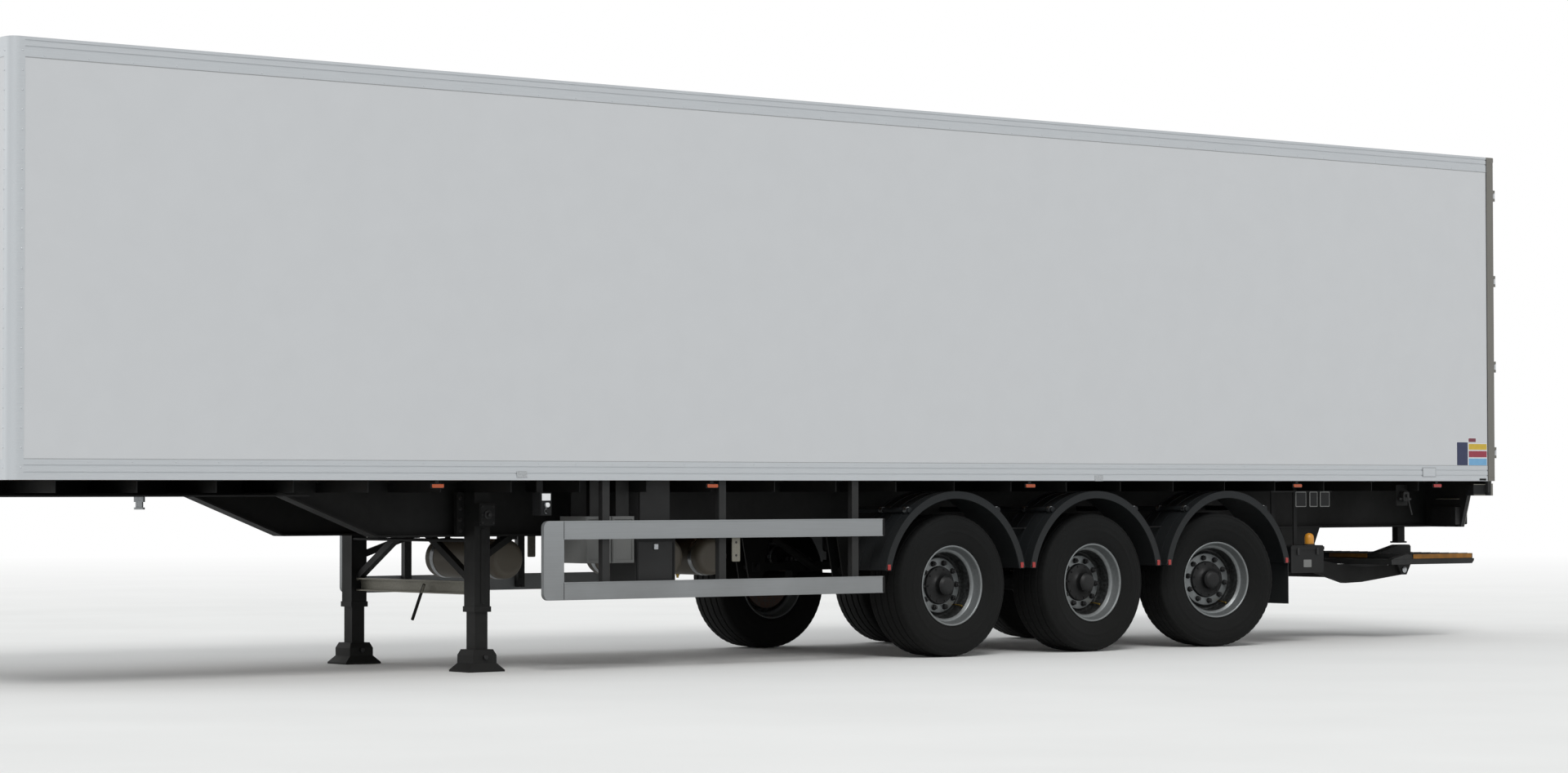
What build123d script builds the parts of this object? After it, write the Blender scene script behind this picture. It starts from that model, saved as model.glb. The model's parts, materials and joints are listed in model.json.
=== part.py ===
"""Three-axle box semi-trailer with a self-steering rear axle and a tail lift folded under its rear end.

Frame: +X to the front, +Y to the left, +Z up, millimetres, origin on the ground below the middle.
"""

import math
import os

from build123d import *

# Overall sizes
LENGTH = 13600  # front wall to the reach of the lock rods
WIDTH = 2550
HEIGHT = 3965
BODY_BOTTOM = 1285  # underside of the floor and of the bottom rails
GEAR_REACH = 50  # lock rods and handles behind the doors

X_FRONT = LENGTH / 2
X_REAR = -LENGTH / 2
SIDE = WIDTH / 2
DOOR_FACE = X_REAR + GEAR_REACH

# Body shell
PANEL = 30  # glass fibre panel
PANEL_INSET = 3  # panel faces lie this far inside the rails' faces
RAIL = 40  # side rail thickness
BOTTOM_RAIL_HIGH = 125
TOP_RAIL_HIGH = 122
GROOVE_DEEP = 4
GROOVE_HIGH = 9
BOTTOM_GROOVES = (0.36, 0.70)  # shares of the rail's height, from below
TOP_GROOVES = (0.19, 0.50)
LEDGE = 40  # inner ledge of the top rails, under the roof
LEDGE_HIGH = 25
ROOF_DROP = 10  # roof panel below the rails' upper edge
FRONT_POST = 100
FRONT_POST_WIDE = 80
FRONT_RADIUS = 65
FLOOR = 30

TOP_SEAM = HEIGHT - TOP_RAIL_HIGH
BOTTOM_SEAM = BODY_BOTTOM + BOTTOM_RAIL_HIGH
FRONT_END = X_FRONT - FRONT_POST  # front end of the side panels and rails
ROOF_TOP = HEIGHT - ROOF_DROP

# Rear frame and doors
DOOR = 42
POST = 45  # rear post, measured along the side
POST_WIDE = 80
HEADER_HIGH = 130
SILL_HIGH = 125
HOOD_HIGH = 30
HOOD_PLATE = 7
DOOR_SIDE_GAP = 13  # door edge inside the body's side
DOOR_MIDDLE_GAP = 10
DOOR_TOP_GAP = 70  # room for the cams below the hood
DOOR_BOTTOM_GAP = 15
BUFFER_RADIUS = 38
BUFFER_HIGH = 100
BUFFER_DROP = 25
CLOSER_TOP = 1060  # half width of the deep rear crossmember at its top
CLOSER_LOW = 980

FRAME_FACE = DOOR_FACE + DOOR  # rear face of the rear frame
REAR_END = FRAME_FACE + POST  # rear end of the side panels and rails
FLOOR_TOP = BODY_BOTTOM + FLOOR
SILL_BOTTOM = FLOOR_TOP - SILL_HIGH
DOOR_BOTTOM = FLOOR_TOP + DOOR_BOTTOM_GAP
DOOR_TOP = HEIGHT - HOOD_HIGH - DOOR_TOP_GAP
DOOR_EDGE = SIDE - DOOR_SIDE_GAP

# Door hinges: their pins stand behind the doors' faces, at the outer edges
HINGE_BACK = 22
HINGE_RADIUS = 11
PIN_RADIUS = 7
PIN_FIT = 0.4
HINGE_LUG = 22
HINGE_BARREL = 44
HINGE_GAP = 1.5
LEAF_WIDE = 130
LEAF = 7
STRAP = 7
HINGE_Z = (1520, 2230, 2940, 3650)
HINGE_X = DOOR_FACE - HINGE_BACK
HINGE_Y = DOOR_EDGE

# Lock rods
ROD_RADIUS = 13.5
ROD_BACK = 27  # rod axis behind the door's face
ROD_Y = (300, 880)  # from the middle of the trailer
GUIDE_Z = (1480, 2080, 2680, 3280, 3760)
GUIDE_WIDE = 90
GUIDE_HIGH = 46
GUIDE_FIT = 4  # guide beyond the rod's surface
CAM_WIDE = 34
CAM_HIGH = 40
CAM_GAP = 20  # keepers clear the doors' edges by this height
ROD_PAST = 45  # rod ends beyond the door's edge
KEEPER_GAP = 12
KEEPER = 8
KEEPER_BACK = 38  # keepers' reach behind the door's face, on either side of the cams
HANDLE_Z = 2380
HANDLE_LONG = 420
HANDLE_HIGH = 34
HANDLE_THICK = 13

# Chassis
BEAM_Y = 600
FLANGE_WIDE = 130
FLANGE = 14
WEB = 10
BEAM_BOTTOM = 905
NECK_BOTTOM = 1190
NECK_START = 3780
NECK_END = 4520
BEAM_FRONT = X_FRONT - 120
BEAM_REAR = REAR_END
BEARER_HIGH = 80
BEARER_WIDE = 55
BEARER_WALL = 6
BEARER_PITCH = 560
BEARER_FIRST = 330  # first bearer behind the front wall
BEARER_LAST = 260  # room ahead of the rear frame
COUPLER = 10
COUPLER_REAR = 4560
COUPLER_FRONT = X_FRONT - 130
COUPLER_HALF = 1060
COUPLER_CORNER = 220
KINGPIN_X = X_FRONT - 1600
KINGPIN_STEPS = ((36.5, 35), (25.4, 35), (35.65, 14))  # radius and height of collar, waist and head
KINGPIN_FLANGE = (90, 12)  # radius and height of the flange on top of the coupler plate
KINGPIN_FIT = 1

# Wheels and axles
AXLE_X = (-810, -2220, -3630)
WHEEL_Z = 520  # also the tyre's radius
TYRE_HALF = 190
TYRE_WIDEST = 410
TREAD_HALF = 162
RIM_RADIUS = 290
RIM_HALF = 162
RIM_LIP = 280
RIM_WELL = 258
DISC = 12
HUB_CAP_RADIUS = 138
HUB_CAP_LONG = 78
HUB_RADIUS = 100
HUB_LONG = 112
ROTOR_RADIUS = 212
ROTOR_OUT = 66
ROTOR_IN = 102
TRACK_HALF = 1048
HUB_GAP = 5  # hub's inner face to the brake's carrier plate
AXLE_RADIUS = 73
SPIDER = 14  # brake carrier plate
SPIDER_RADIUS = 118
CALIPER_HALF = 96
CALIPER_TOP = 232
CALIPER_LOW = 120
CALIPER_WALL = 14
ROTOR_GAP = 8
CHAMBER_RADIUS = 76
CHAMBER_LONG = 190
CHAMBER_UP = 185

# Steering of the third axle
KING_Y = 858
STEER_REST = -13  # the axle stays turned as it was parked
STEER_ARM_BACK = 300
STEER_ARM_IN = 70
STEER_ARM_WIDE = 50
KING_RADIUS = 24
KING_FIT = 1
FIST_HALF = 62
FIST_RADIUS = 52
FIST_NECK = 84
EAR = 30
EAR_GAP = 5
EAR_RADIUS = 55
KNUCKLE_OUT = 60  # outer web of the knuckle, from the kingpin
TIE_RADIUS = 22
TIE_EYE = 30
TIE_EYE_WALL = 14
BALL_RADIUS = 12
BALL_FIT = 1
OPEN_FIT = 14  # clearance of the pivot where the linkage is opened

# Suspension, X measured from each axle
ARM_Y = 560
ARM_WIDE = 90
ARM_HIGH = 60
ARM_REAR = -500
HANGER_X = 470
HANGER_TOP = 270
HANGER_FOOT = 130
HANGER_WIDE = 130
HANGER_LOW = 545
HANGER_PLATE = 12
HANGER_OPEN = 60  # hanger open at its back for this far above the arm
EYE_WALL = 8  # arm's eye beyond the arm
BOLT_RADIUS = 11
BOLT_PAST = 8
PAD_LONG = 190
PAD_HIGH = 14
BAG_X = -390
BAG_Y = 520
BAG_RADIUS = 138
BAG_WAIST = 112
BAG_PLATE = 14
BAG_PISTON = 76  # height of the piston under the bag
BAG_NECK = 30
DAMPER_Y = 455
DAMPER_RADIUS = 32
DAMPER_FOOT = 75  # behind the axle
DAMPER_DROP = 40  # head below the beam
DAMPER_LUG = 60
DAMPER_LUG_WIDE = 20

# Mudguards
WING_RADIUS = 682
WING_SKIN = 8
WING_LIP = 48
WING_LIP_THICK = 14
WING_IN = 862
WING_OUT = 1262
WING_END = 10  # degrees above the level of the axle
WING_TUBE = 20
WING_TUBE_X = 430
WING_TUBE_SUNK = 3  # tubes sunk into the skin
WING_TUBE_SHORT = 20  # tubes end inside the outer lip
FLAP_LOW = 320
FLAP = 8
FLAP_LAP = 40  # flap's overlap with the wing's end

# Landing legs
LEG_X = 3060
LEG_Y = 765
LEG_TUBE = 125
LEG_INNER = 102
LEG_LOW = 405
LEG_MOUNT = 240
FOOT_LONG = 290
FOOT_WIDE = 240
FOOT_HIGH = 150
FOOT_SOLE = 12
FOOT_COLLAR = 95  # half width of the foot above its sole
FOOT_COLLAR_Z = (58, 112)
FOOT_TOP = 78
GEAR_CASE = 60
GEAR_CASE_Z = (980, 1130)
CROSS_Z = 560
CROSS_HIGH = 90
CROSS_THICK = 50
CROSS_WALL = 10
BRACE = 46
BRACE_FOOT_Z = 575  # where the bracing meets the legs' middle planes
BRACE_HEAD_Y = 170
BRACE_HEAD_Z = 920
STAY_LEG_Z = 745  # rear stays, from the legs back to the beams
STAY_BEAM_X = 2680
SHAFT_RADIUS = 11
SHAFT_X = 45  # drive shaft ahead of the legs' middle
SHAFT_Z = 880
CRANK_HEAD = (160, 575)  # Y and Z of the crank that hangs on the crossbar
CRANK_TIP = (15, 330)

# Side guards
GUARD_REAR = -110
GUARD_FRONT = 2700
GUARD_POST = 165
GUARD_LOW = (482, 602)
GUARD_HIGH = (888, 1013)
GUARD_OUT = 1268
GUARD_THICK = 32
GUARD_CORNER = 45
STRUT_X = (130, 1330, 2330)
STRUT = 60
STRUT_THICK = 45
STRUT_RAISED = 20  # struts end above the lower rail's edge

# Tail lift: X and Z of its pivots
LIFT_PIVOT = (-5080, 640)
LIFT_TIP = (-6330, 550)
LIFT_CROSS = (-5720, 520)
LIFT_ARM_Y = 600
LIFT_ARM = 56
LIFT_BOSS = 42  # arm's half height at its tip
LIFT_HUB = 60  # radius of the arm's eye at its pivot
LIFT_BELLY = ((80, -72), (-120, -66))  # lower corners of the arm, from its cross tube
LIFT_BACK = ((-160, 58), (120, 78))  # upper corners
LIFT_TUBE = 40
LIFT_BEAM = 80  # square tube between the brackets
LIFT_FIT = 1
LIFT_SIDE_GAP = 6
LIFT_BRACKET = 18
LIFT_BRACKET_TOP = 230  # bracket's half length at the beam
LIFT_BRACKET_FOOT = 70
LIFT_BRACKET_DROP = 75  # bracket's end below the pivot
TIP_PIN = 20
CYLINDER_Y = 440
CYLINDER_ANCHOR = (-5060, 840)
CYLINDER_RADIUS = 36
CYLINDER_LONG = 430
CYLINDER_BASE = 60  # closed end of the barrel, from its anchor
PISTON_RADIUS = 20
PISTON_FIT = 2
PISTON_SEAT = 100  # piston's end at rest, from the anchor
EYE = 40
EYE_SUNK = 8  # barrels and rods sunk into their eyes
EYE_WIDE = 48
ANCHOR_PAST = 26  # anchor pins beyond the eyes
OPEN_EYE = 10  # clearance of the eye where the linkage is opened
OPEN_EYE_WALL = 12
CROSS_RADIUS = 30
PLATFORM_HALF = 1150
PLATFORM_FRONT = -5620
PLATFORM_REAR = -6630
PLATFORM_Z = 606
PLATFORM = 42
PLATFORM_NOSE = 25
PLATFORM_LUG = (90, 30)  # half length of its hinge lugs at the plate and at their ends
FLAP_REAR_GAP = 20  # folded tip inside the main plate's ends
FLAP_FRONT_GAP = 250
PUMP_BOX = ((-4760, -4385), (905, 1205), (557, 775))
PUMP_CORNER = 18
PUMP_HANGER = (60, 20, 40, 10)  # from the box's end, half length, from its inner face, thickness

# Things hung under the body: X, Y and Z ranges on the left side
STORE_BOXES = (
    ((2190, 2400), (800, 1100), (722, 1040)),
    ((1992, 2182), (800, 1100), (722, 1040)),
    ((1640, 1978), (800, 1100), (585, 885)),
)
TANK_X = (2570, 1180, 780)
TANK_Z = 745
TANK_RADIUS = 138
TANK_HALF = 430
TANK_STRAP = 40
TANK_STRAP_Y = 300
TANK_STRAP_THICK = 20
TANK_STRAP_SUNK = 5
TANK_CORNER = 48
BOX_HANGER = (20, 60, 40, 10)  # from the box's rear and front, from its sides, thickness
BOX_HANGER_SUNK = 1
CONTROL_BOX = ((2800, 2890), (1170, 1262), (1050, 1205))
CONTROL_HANGER = (20, 10, 10)  # from the box's ends, from its inner face, thickness
LAMP_X = (3710, 1440, -1540, -4400, -6050)
LAMP_LONG = 105
LAMP_HIGH = 32
LAMP_DEEP = 18
LAMP_INSET = 4
LAMP_DROP = 22  # lamp's top below the rail
LAMP_STEM = 30
REAR_LAMP = 55
REAR_LAMP_CAN = 60  # housing ahead of the crossmember
REAR_LAMP_CORNER = 12
REAR_LAMP_Y = (700, 975)
REAR_LAMP_Z = (925, 1070)

SIDES = (("left", 1), ("right", -1))


def block(x, y, z, mode=Mode.ADD):
    """A box between the low and high values of each axis."""
    middle = ((x[0] + x[1]) / 2, (y[0] + y[1]) / 2, (z[0] + z[1]) / 2)
    with Locations(middle):
        Box(abs(x[1] - x[0]), abs(y[1] - y[0]), abs(z[1] - z[0]), mode=mode)


def rod(start, end, radius, mode=Mode.ADD):
    """A round bar from one point to another."""
    begin = Vector(*start)
    along = Vector(*end) - begin
    with Locations(Plane(origin=begin, z_dir=along)):
        Cylinder(radius, along.length, align=(Align.CENTER, Align.CENTER, Align.MIN), mode=mode)


def bar(start, end, wide, high):
    """A square bar from one point to another, its wide sides level."""
    begin = Vector(*start)
    along = Vector(*end) - begin
    with Locations(Plane(origin=begin, x_dir=Vector(0, 0, 1).cross(along), z_dir=along)):
        Box(wide, high, along.length, align=(Align.CENTER, Align.CENTER, Align.MIN))


def side_view(points):
    """A flat outline in X and Z, standing in the trailer's middle plane."""
    with BuildSketch(Plane.XZ) as outline:
        Polygon(*points, align=None)
    return outline.sketch


def end_view(points):
    """A flat outline in Y and Z, standing across the trailer."""
    with BuildSketch(Plane.YZ) as outline:
        Polygon(*points, align=None)
    return outline.sketch


def plate(outline, low, high, mode=Mode.ADD):
    """A side view given thickness from one Y value to another."""
    low, high = sorted((low, high))
    extrude(outline.moved(Location((0, high, 0))), amount=high - low, mode=mode)


def across(side, inner, outer):
    """Y range of a piece that reaches from inner to outer on one side of the trailer."""
    return sorted((side * inner, side * outer))


def both_sides(piece):
    """A left-hand piece and its mirror image on the right."""
    return [piece, piece.mirror(Plane.XZ)]


def save(piece, name):
    """Labels a finished piece and writes it."""
    piece.label = name
    export_step(piece, f"parts/{name}.step")


os.makedirs("parts", exist_ok=True)

# Chassis beams: welded I-sections, shallow in the neck and deep from the landing legs back
beam_outline = side_view(
    [
        (BEAM_REAR, BODY_BOTTOM),
        (BEAM_REAR, BEAM_BOTTOM),
        (NECK_START, BEAM_BOTTOM),
        (NECK_END, NECK_BOTTOM),
        (BEAM_FRONT, NECK_BOTTOM),
        (BEAM_FRONT, BODY_BOTTOM),
    ]
)
beam_hollow = side_view(
    [
        (BEAM_REAR - 1, BODY_BOTTOM - FLANGE),
        (BEAM_REAR - 1, BEAM_BOTTOM + FLANGE),
        (NECK_START, BEAM_BOTTOM + FLANGE),
        (NECK_END, NECK_BOTTOM + FLANGE),
        (BEAM_FRONT + 1, NECK_BOTTOM + FLANGE),
        (BEAM_FRONT + 1, BODY_BOTTOM - FLANGE),
    ]
)
with BuildPart() as beams:
    for name, side in SIDES:
        middle = side * BEAM_Y
        plate(beam_outline, middle - FLANGE_WIDE / 2, middle + FLANGE_WIDE / 2)
        plate(beam_hollow, middle + WEB / 2, middle + FLANGE_WIDE / 2 + 1, Mode.SUBTRACT)
        plate(beam_hollow, middle - FLANGE_WIDE / 2 - 1, middle - WEB / 2, Mode.SUBTRACT)
save(beams.part, "beams")

# Cross bearers: channels under the floor that run up to the beams' webs and past them to the rails
with BuildPart() as bearer:
    bearer_low = BODY_BOTTOM - BEARER_HIGH
    flange_in = BEAM_Y - FLANGE_WIDE / 2
    flange_out = BEAM_Y + FLANGE_WIDE / 2
    web_in = BEAM_Y - WEB / 2
    web_out = BEAM_Y + WEB / 2
    reach = SIDE - RAIL
    upright = (-BEARER_WALL, 0)
    level = (BODY_BOTTOM - BEARER_WALL, BODY_BOTTOM)
    block(upright, (-flange_in, flange_in), (bearer_low, BODY_BOTTOM))
    block(upright, (-web_in, web_in), (bearer_low, BODY_BOTTOM - FLANGE))
    block((-BEARER_WIDE, 0), (-flange_in, flange_in), level)
    for name, side in SIDES:
        block(upright, across(side, flange_out, reach), (bearer_low, BODY_BOTTOM))
        block(upright, across(side, web_out, reach), (bearer_low, BODY_BOTTOM - FLANGE))
        block((-BEARER_WIDE, 0), across(side, flange_out, reach), level)

bearer_room = (X_FRONT - BEARER_FIRST) - (REAR_END + BEARER_LAST)
bearer_count = int(bearer_room // BEARER_PITCH) + 1
bearers = []
for index in range(bearer_count):
    bearers.append(bearer.part.moved(Location((X_FRONT - BEARER_FIRST - index * BEARER_PITCH, 0, 0))))
save(Compound(children=bearers), "cross_bearers")

# Coupler plate under the neck, its front corners cut, and the kingpin on it
with BuildPart() as coupler_plate:
    plate_low = NECK_BOTTOM - COUPLER
    block((COUPLER_REAR, COUPLER_FRONT), (-COUPLER_HALF, COUPLER_HALF), (plate_low, NECK_BOTTOM))
    edges = coupler_plate.edges().filter_by(Axis.Z)
    chamfer(edges.group_by(Axis.X)[-1], length=COUPLER_CORNER)
    hole = KINGPIN_STEPS[0][0] + KINGPIN_FIT
    rod((KINGPIN_X, 0, plate_low - 1), (KINGPIN_X, 0, NECK_BOTTOM + 1), hole, Mode.SUBTRACT)
save(coupler_plate.part, "coupler_plate")

with BuildPart() as kingpin:
    step_top = NECK_BOTTOM - COUPLER
    radius, height = KINGPIN_FLANGE
    rod((KINGPIN_X, 0, NECK_BOTTOM), (KINGPIN_X, 0, NECK_BOTTOM + height), radius)
    rod((KINGPIN_X, 0, step_top), (KINGPIN_X, 0, NECK_BOTTOM), KINGPIN_STEPS[0][0])
    for radius, height in KINGPIN_STEPS:
        rod((KINGPIN_X, 0, step_top), (KINGPIN_X, 0, step_top - height), radius)
        step_top -= height
save(kingpin.part, "kingpin")

# Floor deck between the bottom rails
with BuildPart() as floor_deck:
    block((REAR_END, FRONT_END), (RAIL - SIDE, SIDE - RAIL), (BODY_BOTTOM, FLOOR_TOP))
save(floor_deck.part, "floor_deck")

# Side panels, between the bottom and top rails
with BuildPart() as side_walls:
    for name, side in SIDES:
        outer = SIDE - PANEL_INSET
        block((REAR_END, FRONT_END), across(side, outer - PANEL, outer), (BOTTOM_SEAM, TOP_SEAM))
save(side_walls.part, "side_walls")

# Aluminium rails: both rails of a side, with two grooves along each
with BuildPart() as side_rails:
    for name, side in SIDES:
        block((REAR_END, FRONT_END), across(side, SIDE - RAIL, SIDE), (BODY_BOTTOM, BOTTOM_SEAM))
        block((REAR_END, FRONT_END), across(side, SIDE - RAIL, SIDE), (TOP_SEAM, HEIGHT))
        roof_low = ROOF_TOP - PANEL
        ledge = across(side, SIDE - RAIL - LEDGE, SIDE - RAIL)
        block((REAR_END, FRONT_END), ledge, (roof_low - LEDGE_HIGH, roof_low))
        grooves = [BODY_BOTTOM + share * BOTTOM_RAIL_HIGH for share in BOTTOM_GROOVES]
        grooves += [HEIGHT - share * TOP_RAIL_HIGH for share in TOP_GROOVES]
        for z in grooves:
            cut = across(side, SIDE - GROOVE_DEEP, SIDE + 1)
            half = GROOVE_HIGH / 2
            block((REAR_END - 1, FRONT_END + 1), cut, (z - half, z + half), Mode.SUBTRACT)
save(side_rails.part, "side_rails")

# Roof panel on the rails' ledges
with BuildPart() as roof:
    block((REAR_END, FRONT_END), (RAIL - SIDE, SIDE - RAIL), (ROOF_TOP - PANEL, ROOF_TOP))
save(roof.part, "roof")

# Front frame: rounded corner posts, lower beam and header round the front panel
with BuildPart() as front_frame:
    post_inner = SIDE - FRONT_POST_WIDE
    block((FRONT_END, X_FRONT), (-SIDE, SIDE), (BODY_BOTTOM, HEIGHT))
    fillet(front_frame.edges().filter_by(Axis.Z).group_by(Axis.X)[-1], radius=FRONT_RADIUS)
    block((FRONT_END - 1, X_FRONT + 1), (-post_inner, post_inner), (BOTTOM_SEAM, TOP_SEAM), Mode.SUBTRACT)
save(front_frame.part, "front_frame")

with BuildPart() as wall_front:
    face = X_FRONT - PANEL_INSET
    block((face - PANEL, face), (-post_inner, post_inner), (BOTTOM_SEAM, TOP_SEAM))
save(wall_front.part, "wall_front")

# Rear frame: steel portal with hood, deep crossmember below, corner buffers, hinge straps and keepers
with BuildPart() as rear_frame:
    block((FRAME_FACE, REAR_END), (-SIDE, SIDE), (SILL_BOTTOM, HEIGHT))
    aperture = SIDE - POST_WIDE
    header_low = HEIGHT - HEADER_HIGH
    block((FRAME_FACE - 1, REAR_END + 1), (-aperture, aperture), (FLOOR_TOP, header_low), Mode.SUBTRACT)
    closer = end_view(
        [
            (-CLOSER_TOP, SILL_BOTTOM),
            (-CLOSER_LOW, BEAM_BOTTOM),
            (CLOSER_LOW, BEAM_BOTTOM),
            (CLOSER_TOP, SILL_BOTTOM),
        ]
    )
    extrude(closer.moved(Location((FRAME_FACE, 0, 0))), amount=POST)
    block((DOOR_FACE, FRAME_FACE), (-SIDE, SIDE), (HEIGHT - HOOD_HIGH, HEIGHT))
    for name, side in SIDES:
        cheek = across(side, SIDE - HOOD_PLATE, SIDE)
        block((DOOR_FACE, FRAME_FACE), cheek, (BODY_BOTTOM, HEIGHT))
        buffer_x = DOOR_FACE + BUFFER_RADIUS
        buffer_y = side * (SIDE - BUFFER_RADIUS)
        block((REAR_END, REAR_END + REAR_LAMP_CAN), across(side, *REAR_LAMP_Y), REAR_LAMP_Z)
        buffer_low = SILL_BOTTOM - BUFFER_DROP
        rod((buffer_x, buffer_y, buffer_low), (buffer_x, buffer_y, buffer_low + BUFFER_HIGH), BUFFER_RADIUS)
        for y in ROD_Y:
            for offset in (-1, 1):
                inner = side * y + offset * (CAM_WIDE / 2 + KEEPER_GAP)
                keeper = sorted((inner, inner + offset * KEEPER))
                deep = (DOOR_FACE - KEEPER_BACK, FRAME_FACE)
                block(deep, keeper, (DOOR_TOP + CAM_GAP, HEIGHT - HOOD_HIGH))
                block(deep, keeper, (DOOR_BOTTOM - CAM_GAP - ROD_PAST, DOOR_BOTTOM - CAM_GAP))
        for z in HINGE_Z:
            for low in (z - HINGE_BARREL / 2 - HINGE_GAP - HINGE_LUG, z + HINGE_BARREL / 2 + HINGE_GAP):
                block((HINGE_X, DOOR_FACE), across(side, SIDE - STRAP, SIDE), (low, low + HINGE_LUG))
                rod((HINGE_X, side * HINGE_Y, low), (HINGE_X, side * HINGE_Y, low + HINGE_LUG), HINGE_RADIUS)
            half = HINGE_BARREL / 2 + HINGE_GAP + HINGE_LUG
            rod((HINGE_X, side * HINGE_Y, z - half), (HINGE_X, side * HINGE_Y, z + half), PIN_RADIUS)
save(rear_frame.part, "rear_frame")

# Doors: one panel each with its hinge leaves and barrels
for name, side in SIDES:
    with BuildPart() as door:
        block((DOOR_FACE, FRAME_FACE), across(side, DOOR_MIDDLE_GAP / 2, DOOR_EDGE), (DOOR_BOTTOM, DOOR_TOP))
        for z in HINGE_Z:
            low = z - HINGE_BARREL / 2
            high = z + HINGE_BARREL / 2
            leaf = across(side, DOOR_EDGE - LEAF_WIDE, HINGE_Y)
            block((DOOR_FACE - LEAF, DOOR_FACE), leaf, (low, high))
            block((HINGE_X, DOOR_FACE), across(side, HINGE_Y - HINGE_RADIUS, HINGE_Y), (low, high))
            rod((HINGE_X, side * HINGE_Y, low), (HINGE_X, side * HINGE_Y, high), HINGE_RADIUS)
            bore = PIN_RADIUS + PIN_FIT
            rod((HINGE_X, side * HINGE_Y, low - 1), (HINGE_X, side * HINGE_Y, high + 1), bore, Mode.SUBTRACT)
    save(door.part, f"door_{name}")

# Lock gear: two rods on each door with guides, cams at both ends and a handle
for name, side in SIDES:
    with BuildPart() as gear:
        rod_x = DOOR_FACE - ROD_BACK
        for y in ROD_Y:
            centre = side * y
            low = DOOR_BOTTOM - ROD_PAST
            high = DOOR_TOP + ROD_PAST
            rod((rod_x, centre, low), (rod_x, centre, high), ROD_RADIUS)
            for z in GUIDE_Z:
                back = rod_x - ROD_RADIUS - GUIDE_FIT
                half = ROD_RADIUS + GUIDE_FIT
                high_low = (z - GUIDE_HIGH / 2, z + GUIDE_HIGH / 2)
                block((back, DOOR_FACE), (centre - half, centre + half), high_low)
                foot = (centre - GUIDE_WIDE / 2, centre + GUIDE_WIDE / 2)
                block((DOOR_FACE - LEAF, DOOR_FACE), foot, high_low)
            for end in (low, high - CAM_HIGH):
                cam = (centre - CAM_WIDE / 2, centre + CAM_WIDE / 2)
                block((rod_x - ROD_RADIUS, rod_x + ROD_RADIUS), cam, (end, end + CAM_HIGH))
            grip = sorted((centre, centre - side * HANDLE_LONG * (1 if y > ROD_Y[0] else -1)))
            grip_z = (HANDLE_Z - HANDLE_HIGH / 2, HANDLE_Z + HANDLE_HIGH / 2)
            block((X_REAR, X_REAR + HANDLE_THICK), grip, grip_z)
    save(gear.part, f"lock_gear_{name}")

# Tyre and rim forms, turned about Y with their outer faces to +Y
with BuildPart() as tyre_form:
    with BuildSketch(Plane.XY):
        Polygon(
            (RIM_RADIUS, -RIM_HALF),
            (TYRE_WIDEST, -TYRE_HALF),
            (WHEEL_Z, -TREAD_HALF),
            (WHEEL_Z, TREAD_HALF),
            (TYRE_WIDEST, TYRE_HALF),
            (RIM_RADIUS, RIM_HALF),
            align=None,
        )
    revolve(axis=Axis.Y)

with BuildPart() as rim_form:
    with BuildSketch(Plane.XY):
        Polygon(
            (0, HUB_CAP_LONG),
            (HUB_CAP_RADIUS, HUB_CAP_LONG),
            (HUB_CAP_RADIUS, DISC),
            (RIM_WELL, DISC),
            (RIM_LIP, RIM_HALF),
            (RIM_RADIUS, RIM_HALF),
            (RIM_RADIUS, -RIM_HALF),
            (RIM_LIP, -RIM_HALF),
            (RIM_WELL, 0),
            (HUB_RADIUS, 0),
            (HUB_RADIUS, -ROTOR_OUT),
            (ROTOR_RADIUS, -ROTOR_OUT),
            (ROTOR_RADIUS, -ROTOR_IN),
            (HUB_RADIUS, -ROTOR_IN),
            (HUB_RADIUS, -HUB_LONG),
            (0, -HUB_LONG),
            align=None,
        )
    revolve(axis=Axis.Y)


def steered(side):
    """Place of the third axle's kingpin on one side, turned as it rests."""
    return Location((AXLE_X[2], side * KING_Y, 0), (0, 0, STEER_REST))


for index, axle_x in enumerate(AXLE_X, start=1):
    for name, side in SIDES:
        turn = 0 if side > 0 else 180
        if index < 3:
            place = Location((axle_x, side * TRACK_HALF, WHEEL_Z), (0, 0, turn))
        else:
            place = steered(side) * Location((0, side * (TRACK_HALF - KING_Y), WHEEL_Z), (0, 0, turn))
        save(tyre_form.part.moved(place), f"tyre_{index}_{name}")
        save(rim_form.part.moved(place), f"rim_{index}_{name}")


def brake(side, hub_y):
    """Carrier plate, caliper over the brake disc and air chamber, for a wheel whose middle is at hub_y."""
    face = hub_y - side * (HUB_LONG + HUB_GAP)
    back = face - side * SPIDER
    rod((0, face, WHEEL_Z), (0, back, WHEEL_Z), SPIDER_RADIUS)
    caliper_top = WHEEL_Z + CALIPER_TOP
    block((-CALIPER_HALF, CALIPER_HALF), sorted((face, back)), (WHEEL_Z, caliper_top))
    front = hub_y - side * (ROTOR_OUT - ROTOR_GAP - CALIPER_WALL)
    block((-CALIPER_HALF, CALIPER_HALF), sorted((front, back)), (WHEEL_Z + CALIPER_LOW, caliper_top))
    slot_out = hub_y - side * (ROTOR_OUT - ROTOR_GAP)
    slot_in = hub_y - side * (ROTOR_IN + ROTOR_GAP)
    rod((0, slot_out, WHEEL_Z), (0, slot_in, WHEEL_Z), ROTOR_RADIUS + ROTOR_GAP, Mode.SUBTRACT)
    chamber_z = WHEEL_Z + CHAMBER_UP
    rod((0, back, chamber_z), (0, back - side * CHAMBER_LONG, chamber_z), CHAMBER_RADIUS)


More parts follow.
